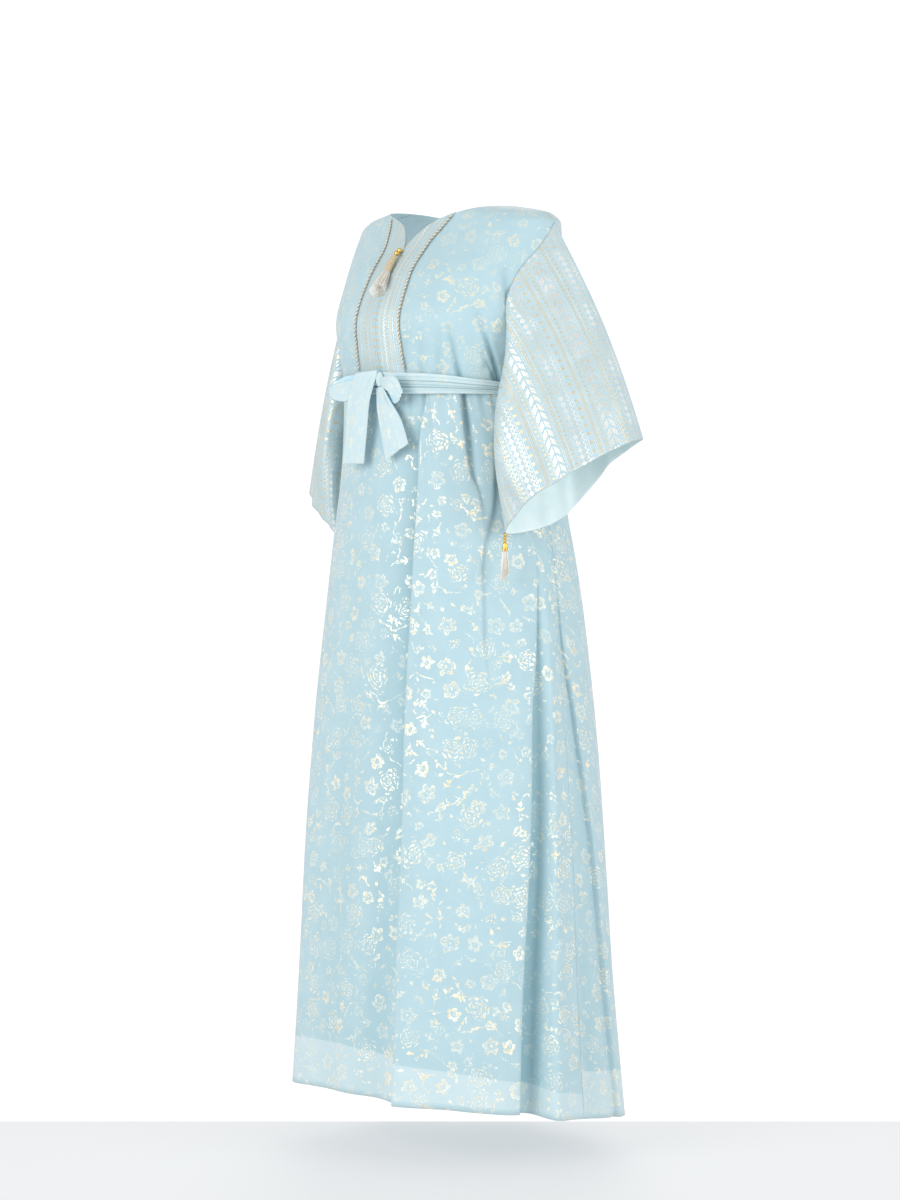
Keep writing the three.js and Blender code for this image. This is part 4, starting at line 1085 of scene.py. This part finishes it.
# Finer gathers between them: bearing, depth, length and half width.
GATHERS = [
    (-170, 2, 70, 5), (-146, 2, 90, 5), (-120, 2, 60, 5), (-97, 2, 80, 5), (-72, 2, 80, 5), (-62, 2, 50, 4),
    (-40, 2, 70, 5), (-33, 1.5, 40, 4), (-12, 1.5, 60, 5), (-3, 1.2, 40, 4), (8, 1.5, 50, 5), (18, 2, 70, 4),
    (34, 1.5, 60, 4), (45, 2, 90, 4), (57, 1.5, 50, 4), (64, 2.4, 110, 5), (71, 2, 60, 4), (77, 2.4, 90, 4),
    (93, 2, 80, 5), (102, 2, 60, 4), (124, 2, 80, 5), (150, 2, 90, 5), (158, 1.6, 50, 4), (176, 2, 60, 5),
]
fold_ring = np.concatenate([SKIRT_FOLDS + np.array([k, k, 0, 0, 0, 0]) for k in (-360, 0, 360)])
# Folds that lap over their neighbour: which way the crest lies, its height, the valley's depth, how far the
# edge hangs over, then rows of the share down, the hem bearing of the edge there and the share of its form.
LAPPED_FOLDS = [
    (1, 7, 22, 8, [(0.01, 21.2, 0.25), (0.09, 16.2, 0.6), (0.28, 15, 1), (0.47, 16.2, 1), (0.65, 19.5, 1),
                   (0.76, 20.8, 1), (0.89, 23.5, 1), (1, 24.7, 1)]),
    (-1, 4, 9, 4, [(0.01, 44.2, 0.9), (0.05, 43.2, 1), (0.1, 43.2, 0.8), (0.15, 47, 0.3), (0.2, 48, 0)]),
    (-1, 4, 10, 5, [(0.01, 61.2, 0.9), (0.055, 56.2, 1), (0.093, 54, 1), (0.165, 51, 0.6), (0.25, 46, 0.5),
                    (0.34, 45.8, 0.6), (0.4, 48, 0.2), (0.5, 49, 0)]),
    (-1, 6, 15, 8, [(0.2, 68, 0), (0.37, 64, 0.5), (0.45, 61.5, 0.8), (0.57, 61, 1), (0.83, 60.6, 1),
                    (1, 61, 1)]),
    (1, 5, 8, 4, [(0.15, 104, 0), (0.33, 100, 0.5), (0.43, 106, 0.8), (0.66, 112, 1), (1, 115, 1)]),
    (1, 6, 14, 6, [(0.01, -52, 0.3), (0.2, -49, 0.8), (0.6, -50, 1), (1, -52, 1)]),
    (-1, 5, 10, 5, [(0.1, 138, 0), (0.3, 136, 0.7), (0.7, 134, 1), (1, 133, 1)]),
    (1, 6, 14, 6, [(0.01, 166, 0.4), (0.2, 168, 0.9), (0.6, 170, 1), (1, 171, 1)]),
    (-1, 5, 12, 6, [(0.05, 204, 0.3), (0.3, 205, 0.9), (0.7, 207, 1), (1, 208, 1)]),
    (1, 5, 11, 5, [(0.1, 236, 0), (0.4, 238, 0.8), (0.8, 240, 1), (1, 241, 1)]),
]
LAP_SHARP = 1.2
LAP_FADE = 26
LAP_EDGE_HALF = 7
LAP_TOP_RADIUS = 160
LAP_HEM_RADIUS = 258
SKIRT_RIPPLE_HEIGHT = 1.1
SKIRT_RIPPLE_RADIUS = 240
# How deep cloth lies in a fold where its shade begins, and how much deeper where it is full.
FOLD_SHADE_START = 2
FOLD_SHADE_DEPTH = 17


def lapped(hem_bearing, v):
    """How far the lapped folds push the cloth out and round. Across each edge the cloth steps from the
    valley to the crest along a logistic curve, and both die out exponentially away from it."""
    out = np.zeros(v.shape)
    round_dress = np.zeros(v.shape)
    reach = np.radians(between(LAP_TOP_RADIUS, LAP_HEM_RADIUS, v ** 0.8))
    for crest_way, crest, valley, over, rows in LAPPED_FOLDS:
        rows = np.array(rows, float)
        edge, share = (curve(rows[:, 0], rows[:, k], np.clip(v, rows[0, 0], rows[-1, 0])) for k in (1, 2))
        away = crest_way * ((hem_bearing - edge + 180) % 360 - 180) * reach
        step = 1 / (1 + np.exp(-np.clip(away / LAP_SHARP, -30, 30)))
        raised = crest * np.exp(-np.maximum(away, 0) / LAP_FADE) * step
        sunk = valley * np.exp(np.minimum(away, 0) / (LAP_FADE * 0.8)) * (1 - step)
        out += share * (raised - sunk)
        round_dress -= share * crest_way * over * step * np.exp(-(away / LAP_EDGE_HALF) ** 2)
    return out, round_dress


def gathered_columns(first, last, count, dense):
    """Columns across a skirt piece, closer together where the edges of the lapped folds run."""
    place = np.linspace(first, last, 2000)
    weight = 1 + sum(3.2 * np.exp(-((place - middle) / half) ** 4) for middle, half in dense)
    share = np.cumsum(weight)
    return np.interp(np.linspace(share[0], share[-1], count), share, place)


def skirt_form(hem_bearing, v):
    """From the waist seam to the hem, each fold a bell curve round its own line that grows from where it
    starts, and each pleat one that dies out below the belt. Also how deep each point lies in them."""
    hem_z = HEM_Z + HEM_RISE * np.cos(np.radians(hem_bearing - HEM_RISE_BEARING))
    z = between(SKIRT_TOP_Z, hem_z, v)
    belt_bearing = curve(fold_ring[:, 0], fold_ring[:, 1], hem_bearing)
    bearing = np.radians(between(belt_bearing, hem_bearing, v))
    out = np.zeros(z.shape)
    lean = np.zeros(z.shape)
    for hem, _, top, height, half, leaning in fold_ring:
        s = np.radians(hem_bearing - hem) * HEM_RADIUS / half
        grow = np.maximum(0, (top - z) / (top - HEM_Z)) ** 0.9 * np.exp(-s * s)
        out += height * grow
        lean += leaning * grow
    pleats = [(belt, depth, length, PLEAT_HALF) for belt, depth, length in WAIST_PLEATS]
    for belt, depth, length, half in pleats + GATHERS:
        s = ((belt_bearing - belt + 180) % 360 - 180) * math.radians(BELT_RADIUS) / half
        out -= depth * np.maximum(0, 1 - (SKIRT_TOP_Z - z) / length) * np.exp(-s * s)
    ripples = soft_ripples(np.radians(hem_bearing) * SKIRT_RIPPLE_RADIUS, z, SKIRT_RIPPLE_HEIGHT)
    out += ripples * np.clip(v * 3, 0, 1)
    lap_out, lap_round = lapped(hem_bearing, v)
    out += lap_out
    lean += lap_round
    side, front, back, y = section(z)
    depth = np.where(np.cos(bearing) > 0, front, back)
    way = unit(join(np.sin(bearing) / side, -np.cos(bearing) / depth, 0 * z))
    points = join(side * np.sin(bearing), y - depth * np.cos(bearing), z)
    round_way = join(-way[..., 1], way[..., 0], 0 * z)
    points = points + way * out[..., None] + round_way * lean[..., None]
    return points, np.clip((-out - FOLD_SHADE_START) / FOLD_SHADE_DEPTH, 0, 1)


SKIRT_COLUMNS = 341
SKIRT_ROWS = np.linspace(0, 1, 120) ** 1.15
# Where lapped edges run on each piece: hem bearing and half width.
FRONT_EDGES = [(-51, 5), (19, 8), (45, 6), (62, 6)]
BACK_EDGES = [(109, 8), (136, 5), (169, 5), (206, 5), (239, 5)]
for name, first, last, edges, cut in (
    ("front", -SKIRT_SEAM_HEM, SKIRT_SEAM_HEM, FRONT_EDGES, (0.90, 1.18)),
    ("back", SKIRT_SEAM_HEM, 360 - SKIRT_SEAM_HEM, BACK_EDGES, (0.90, 1.20)),
):
    columns = gathered_columns(first, last, SKIRT_COLUMNS, edges)
    hem_bearing, v = np.meshgrid(columns, SKIRT_ROWS, indexing="ij")
    points, deep = skirt_form(hem_bearing, v)
    inside = join(0, 0, points[..., 2])
    normals = facing(points, inside)
    place = flat_place(points, SKIRT_COLUMNS // 2)
    skirt = cloth(f"skirt_{name}_cloth", points, normals, place, [skirt_chiffon, lining_cloth], deep=deep)
    fit(skirt, "printed_cloth", f"skirt_{name}")


# The belt: a long sash of the chiffon, folded lengthwise and drawn round the waist, where it gathers to a
# few long pleats. It covers the waist seam and is tied in a bow in front.
BELT_EDGES = np.array([
    (0, -262, -297), (35, -267, -297.5), (60, -275, -298), (90, -281, -299), (180, -270, -299),
])
BELT_THICKNESS = 4
BELT_CLEAR = 3
BELT_WALL = 1.6
BELT_ROUNDING = 1.2
BELT_COLUMNS = 240
BELT_ROWS = 81
# Long pleats of the sash: share down, swing, swings round the dress and depth.
BELT_PLEATS = [
    (0.42, 0.03, 2, 2.6), (0.56, 0.03, 3, 2.2), (0.67, 0.025, 2, 2.6), (0.2, 0.03, 3, 1.0),
    (0.86, 0.02, 4, 0.9),
]


def belt_point(bearing, z, out):
    side, front, back, y = section(z)
    c = np.cos(np.radians(bearing))
    depth = np.where(c > 0, front, back) + BELT_CLEAR + out
    return join((side + BELT_CLEAR + out) * np.sin(np.radians(bearing)), y - depth * c, z)


sash_cloth = printed_chiffon("printed chiffon of the sash", 0.4, 0.5, 0.38, False)
sash_inside = plain_cloth("wrong side of the sash", (0.50, 0.70, 0.77, 1), (0.45, 0.66, 0.73, 1))
belt_bearings = np.linspace(-180, 180, BELT_COLUMNS + 1)[:-1]
bearing, v = np.meshgrid(belt_bearings, np.linspace(0, 1, BELT_ROWS), indexing="ij")
top, bottom = (curve(BELT_EDGES[:, 0], BELT_EDGES[:, k], abs(bearing)) for k in (1, 2))
wave = np.radians(bearing)
rounded = np.sqrt(np.maximum(0, 1 - (2 * v - 1) ** 8))
out = BELT_THICKNESS - BELT_ROUNDING + BELT_ROUNDING * rounded + 0.2 * np.sin(wave * 17 + v * 4)
deep = np.zeros(v.shape)
for level, swing, turns, depth in BELT_PLEATS:
    groove = v - level - swing * np.sin(turns * wave + 9 * level)
    out -= depth * np.exp(-(groove / 0.022) ** 2)
    # Painted shade in the grooves of the pleats, carried by the deep attribute.
    deep += depth / 5 * np.exp(-(groove / 0.03) ** 2)
    out += 0.5 * depth * np.exp(-((groove - 0.05) / 0.04) ** 2)
points = belt_point(bearing, between(top, bottom, v), out)
normals = join(np.sin(wave), -np.cos(wave), 0 * wave)
place = flat_place(np.concatenate([points, points[:1]]), BELT_COLUMNS // 2)
deep = np.clip(deep, 0, 1)
faces = [sash_cloth, sash_inside]
belt = cloth("sash", points, normals, place, faces, BELT_WALL, closed=True, deep=deep)
fit(belt, "sash_cloth", "belt_band")


# The bow: two tails and two loops of the sash that come out of a small firm knot on the belt. The tails hang
# flat in front of the skirt and the loops droop.
KNOT_X, KNOT_Z = 8, -274
KNOT_WIDE, KNOT_HIGH, KNOT_DEEP = 15, 24, 9
knot_bearing = np.degrees(np.arcsin(KNOT_X / section(KNOT_Z)[0]))
KNOT_Y = float(belt_point(knot_bearing, KNOT_Z, BELT_THICKNESS)[1]) - 0.3 - KNOT_DEEP / 2
KNOT_WALL = 0.9
KNOT_COLUMNS = 64
SASH_WIDTH = 48
SASH_WALL = 1.2
TAIL_COLUMNS = 33
LOOP_COLUMNS = 25
LOOP_TURN = 0.86
# Step, middle, way across, share of the full width, and cup of each row.
TAIL_LEFT = np.array([
    (0, -15, -186.2, -262, 1, 0.15, 0.1, 0.92, 2),
    (1, -17, -186.8, -270, 1, 0.15, 0.1, 0.95, 3),
    (2, -26, -191, -308, 1, 0.05, 0.12, 1, 3),
    (3, -39, -184, -358, 1, 0.02, 0.05, 1, 4),
    (4, -51, -180, -406, 1, 0.05, 0, 1, 4),
])
TAIL_RIGHT = np.array([
    (0, 8, -179.5, -286.3, 1, 0, 0.2, 0.3, 1),
    (1, 19, -181, -312, 1, 0.05, 0.3, 0.62, 3),
    (2, 32, -176, -350, 1, 0.1, 0.45, 0.96, 3),
    (3, 43, -174, -388, 1, 0.12, 0.6, 1.1, 3),
])


def strip(rows, across, along):
    """A strip of sash: its middle and the way across follow the rows, and it is cupped across."""
    x, y, z, ax, ay, az, wide, cup = (curve(rows[:, 0], rows[:, k], along) for k in range(1, 9))
    sag = cup * (1 - 4 * across * across)
    return join(x, y - sag, z) + unit(join(ax, ay, az)) * (across * SASH_WIDTH * wide)[..., None]


for name, node, rows, length in (
    ("sash_tail_left", "belt_tail_left", TAIL_LEFT, 0.15),
    ("sash_tail_right", "belt_tail_right", TAIL_RIGHT, 0.11),
):
    columns = np.linspace(-0.5, 0.5, TAIL_COLUMNS)
    across, along = np.meshgrid(columns, np.linspace(0, rows[-1, 0], 70), indexing="ij")
    points = strip(rows, across, along)
    soft = 0.9 * np.sin(across * 19 + along * 0.7) + 0.5 * np.sin(across * 37 + along * 1.9)
    points[..., 1] += soft * np.clip(along, 0, 1)
    normals = facing(points, points + np.array([0, 10, 0]))
    place = flat_place(points, TAIL_COLUMNS // 2)
    tail = cloth(name, points, normals, place, [sash_cloth, sash_inside], SASH_WALL)
    fit(tail, "sash_cloth", node)


def bow_loop(start, end, high, deep, wide, droop, u, t):
    """A flattened loop of cloth: out from the knot and back under itself, by a turn that stops short of the
    full circle, wider away from the knot. Its hind layer droops below the front one."""
    reach_way = np.array(end, float) - np.array(start, float)
    length = np.linalg.norm(reach_way)
    reach_way = reach_way / length
    across = unit(np.cross([0, -1, 0], reach_way))
    outward = unit(np.cross(reach_way, across))
    turn = between(-LOOP_TURN, LOOP_TURN, t) * np.pi
    reach = length / 2 * (1 + np.cos(turn))
    lift = (deep + 2) * np.sin(turn) * (0.35 + 0.65 * np.sin(np.pi * np.minimum(1, reach / length)))
    spread = between(0.35, 1, np.minimum(1, reach / (0.7 * length))) * (1 - 0.5 * (reach / length) ** 5)
    hind = np.sin(turn) * np.sin(np.pi * np.minimum(1, reach / length) ** 1.5)
    aside = (u - 0.5) * wide * spread - high * (1 - np.cos(turn)) / 30 + droop * hind
    soft = 0.8 * np.sin(u * 15 + reach / 14) * np.minimum(1, reach / 30)
    way = np.array(start, float) + reach_way * reach[..., None] + across * aside[..., None]
    return way + outward * (lift + soft)[..., None]


for name, node, start, end, high, deep, wide, droop, length in (
    ("bow_right", "bow_loop_right", (14.9, KNOT_Y - 0.6, -273), (66, -189, -301), 17, 8, 30, 9, 0.11),
    ("bow_left", "bow_loop_left", (5.3, KNOT_Y - 0.8, -275), (-94, -188, -294), 15, 4, 34, 5, 0.20),
):
    u, t = np.meshgrid(np.linspace(0, 1, LOOP_COLUMNS), np.linspace(0, 1, 91), indexing="ij")
    points = bow_loop(start, end, high, deep, wide, droop, u, t)
    normals = facing(points, points.mean(axis=(0, 1)))
    place = flat_place(points, LOOP_COLUMNS // 2)
    loop = cloth(name, points, normals, place, [sash_cloth, sash_inside], SASH_WALL)
    fit(loop, "sash_cloth", node)

turns = np.linspace(0, 2 * np.pi, KNOT_COLUMNS + 1)[:-1]
turn, rise = np.meshgrid(turns, np.linspace(0.02, np.pi - 0.02, 40), indexing="ij")
creases = 1 + 0.05 * np.sin(turn * 7 + 1.5 * rise) * np.sin(rise)
points = join(
    KNOT_X + KNOT_WIDE / 2 * np.sin(rise) * np.cos(turn) * creases,
    KNOT_Y + KNOT_DEEP / 2 * np.sin(rise) * np.sin(turn) * creases,
    KNOT_Z + KNOT_HIGH / 2 * np.cos(rise),
)
normals = facing(points, np.array([KNOT_X, KNOT_Y, KNOT_Z]), closed=True)
place = flat_place(np.concatenate([points, points[:1]]), KNOT_COLUMNS // 2)
knot = cloth("knot", points, normals, place, [sash_cloth], KNOT_WALL, closed=True)
fit(knot, "sash_cloth", "belt_knot")


# Tassels: gold coloured beads on a cord, a wound head or a small bell cap, and loose shiny thread that
# flares out of it. One hangs at the neck slit and one at the lower tip of each sleeve.
gold_shader = Shader("gold coloured metal", Metallic=1.0)
gold_place = gold_shader.add("ShaderNodeTexCoord", {}, {}).out("Object")
gold_wear = gold_shader.noise(gold_place, 500.0, 2.0)
gold_shader.set(Base_Color=gold_shader.mix(gold_wear, (0.62, 0.36, 0.06, 1), (0.85, 0.58, 0.16, 1)))
gold_shader.set(Roughness=gold_wear * 0.25 + 0.15)
gold_shader.set(Normal=gold_shader.bump(gold_wear, 0.15 * MM, 0.3))


def thread_shader(name, dark, light):
    """Shiny rayon thread, lighter and darker from strand to strand."""
    shader = Shader(name, Sheen_Weight=0.3, Specular_IOR_Level=0.6)
    place = shader.add("ShaderNodeTexCoord", {}, {}).out("Object")
    strand = shader.add("ShaderNodeAttribute", {"attribute_name": "strand"}, {}).out("Fac")
    tone = shader.noise(place, 700.0, 1.0).rise(0.3, 0.7) * 0.5 + strand * 0.5
    shader.set(Base_Color=shader.mix(tone, dark, light), Roughness=tone * 0.2 + 0.35)
    shader.set(Normal=shader.bump(shader.noise(place, 1500.0, 1.0), 0.1 * MM, 0.5))
    return shader.material


head_thread = thread_shader("champagne thread", (0.42, 0.33, 0.18, 1), (0.92, 0.80, 0.54, 1))
strand_thread = thread_shader("off-white thread", (0.82, 0.78, 0.69, 1), (1.0, 0.98, 0.94, 1))


def turned(name, rows, top, down, material, grooves=0, sides=32):
    """A turned piece from rows of radius and length, hanging from its top along a direction. Grooves wind
    round it as thread does."""
    rows = np.array(rows, float)
    down = unit(np.array(down, float))
    first = unit(np.cross(down, [1, 0, 0.2]))
    second = np.cross(down, first)
    along = np.linspace(rows[0, 1], rows[-1, 1], 12 * len(rows))
    radius = np.interp(along, rows[:, 1], rows[:, 0])
    angle, along = np.meshgrid(2 * np.pi * np.arange(sides) / sides, along, indexing="ij")
    radius = radius + grooves * np.sin(along * 4 + angle) * np.minimum(1, radius)
    ring = first * np.cos(angle)[..., None] + second * np.sin(angle)[..., None]
    points = np.array(top, float) + down * along[..., None] + ring * np.maximum(radius, 0.05)[..., None]
    normals = facing(points, points.mean(axis=0, keepdims=True), closed=True)
    flat = flat_place(np.concatenate([points, points[:1]]), 0)
    return cloth(name, points, normals, flat, [material], thickness=0.04, closed=True)


BEAD_SPACING = 0.9


def bead_rows(count, radius, core):
    """Rows of a string of beads: between two cores the radius follows half a sine wave. Each bead takes up
    the spacing's share of its diameter."""
    share = np.tile(np.linspace(0.05, 0.95, 9), count)
    bead = np.repeat(np.arange(count), 9)
    middle = core + (radius - core) * np.sin(np.pi * share)
    rows = np.stack([middle, (bead + share) * 2 * radius * BEAD_SPACING], axis=-1)
    return [(0.0, 0.0), *rows.tolist(), (0.0, count * 2 * radius * BEAD_SPACING)]


def strand_bundle(name, count, root, root_radius, down, length, flare, thin, material):
    """Loose strands: each starts at its own place in the head, hangs down, and swings out to its own place
    in a wider ring, with a slight wave. The golden angle spreads them evenly."""
    down = unit(np.array(down, float))
    first = unit(np.cross(down, [1, 0, 0.2]))
    second = np.cross(down, first)
    k = np.arange(count)
    angle = k * 2.39996
    share = np.sqrt((k + 0.5) / count)
    ring = first * np.cos(angle)[:, None] + second * np.sin(angle)[:, None]
    run = np.linspace(0, 1, 9)
    reach = length * (0.84 + 0.16 * np.sin(k * 2.4))
    spread = between(root_radius, flare, run ** 0.8) * share[:, None]
    wave = 0.5 * np.sin(run * 6 + k[:, None] * 1.7) * run
    paths = np.array(root, float) + down * (reach[:, None] * run)[..., None]
    paths = paths + ring[:, None] * spread[..., None] + np.cross(down, ring)[:, None] * wave[..., None]
    radii = between(thin, thin * 0.8, run)[None]
    return tubes(name, paths, radii, ring[:, None] + 0 * paths, 4, material)


NECK_TASSEL_Z = -72
NECK_TASSEL_LENGTH = 84
NECK_BEADS = 2
NECK_BEAD_RADIUS = 4.4
NECK_BEADS_LENGTH = 2 * NECK_BEADS * NECK_BEAD_RADIUS * BEAD_SPACING
NECK_TASSEL_LIFT = PANEL_OUT + 8.8
levels = NECK_TASSEL_Z - np.array([0, NECK_BEADS_LENGTH, NECK_TASSEL_LENGTH])
centre_line = body(0.0, levels)
centre_normal = unit(join(0, -(body(0.0, levels + 1)[:, 2] - body(0.0, levels - 1)[:, 2]),
                          body(0.0, levels + 1)[:, 1] - body(0.0, levels - 1)[:, 1]))
lifts = np.array([PANEL_OUT + NECK_BEAD_RADIUS - 0.5, NECK_TASSEL_LIFT, NECK_TASSEL_LIFT + 5])
bead_top, bead_end, tassel_aim = centre_line + centre_normal * lifts[:, None]
bead_down = unit(bead_end - bead_top)
head_top = bead_top + bead_down * (NECK_BEADS_LENGTH + 0.3)
head_down = unit(tassel_aim - head_top)
NECK_BEAD_ROWS = bead_rows(NECK_BEADS, NECK_BEAD_RADIUS, 1.4)
neck_beads = turned("neck_beads", NECK_BEAD_ROWS, bead_top, bead_down, gold_shader.material)
fit(neck_beads, "gold_beads", "neck_tassel_beads")
HEAD_ROWS = [(0, 0), (3.2, 1), (4.6, 6), (5.0, 16), (5.4, 29), (4.4, 33), (0, 33.2)]
neck_head = turned("neck_tassel_head", HEAD_ROWS, head_top, head_down, head_thread, grooves=0.25)
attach(neck_head, "root")
NECK_STRANDS_FROM = 31
neck_strands = strand_bundle(
    "neck_tassel_strands",
    count=150,
    root=head_top + head_down * NECK_STRANDS_FROM,
    root_radius=4.4,
    down=head_down,
    length=46,
    flare=12,
    thin=0.36,
    material=strand_thread,
)
fit(neck_strands, "thread", "neck_tassel")

SLEEVE_BEADS = 3
SLEEVE_BEAD_RADIUS = 2.6
SLEEVE_STRANDS_FROM = 27.4
CAP_ROWS = [(1.6, 14.2), (3.4, 16), (3.6, 22), (5, 27), (0, 27.2)]
for side_name, tip in sleeve_tips.items():
    top = tip + np.array([0, 0, -0.5])
    rows = bead_rows(SLEEVE_BEADS, SLEEVE_BEAD_RADIUS, 1.2)[:-1] + CAP_ROWS
    beads = turned(f"sleeve_{side_name}_beads", rows, top, (0, 0, -1), gold_shader.material)
    fit(beads, "gold_beads", f"sleeve_{side_name}_tassel_beads")
    strands = strand_bundle(
        f"sleeve_{side_name}_strands",
        count=110,
        root=top + np.array([0, 0, -SLEEVE_STRANDS_FROM]),
        root_radius=3.6,
        down=(0, 0, -1),
        length=47,
        flare=7,
        thin=0.4,
        material=strand_thread,
    )
    fit(strands, "thread", f"sleeve_{side_name}_tassel")
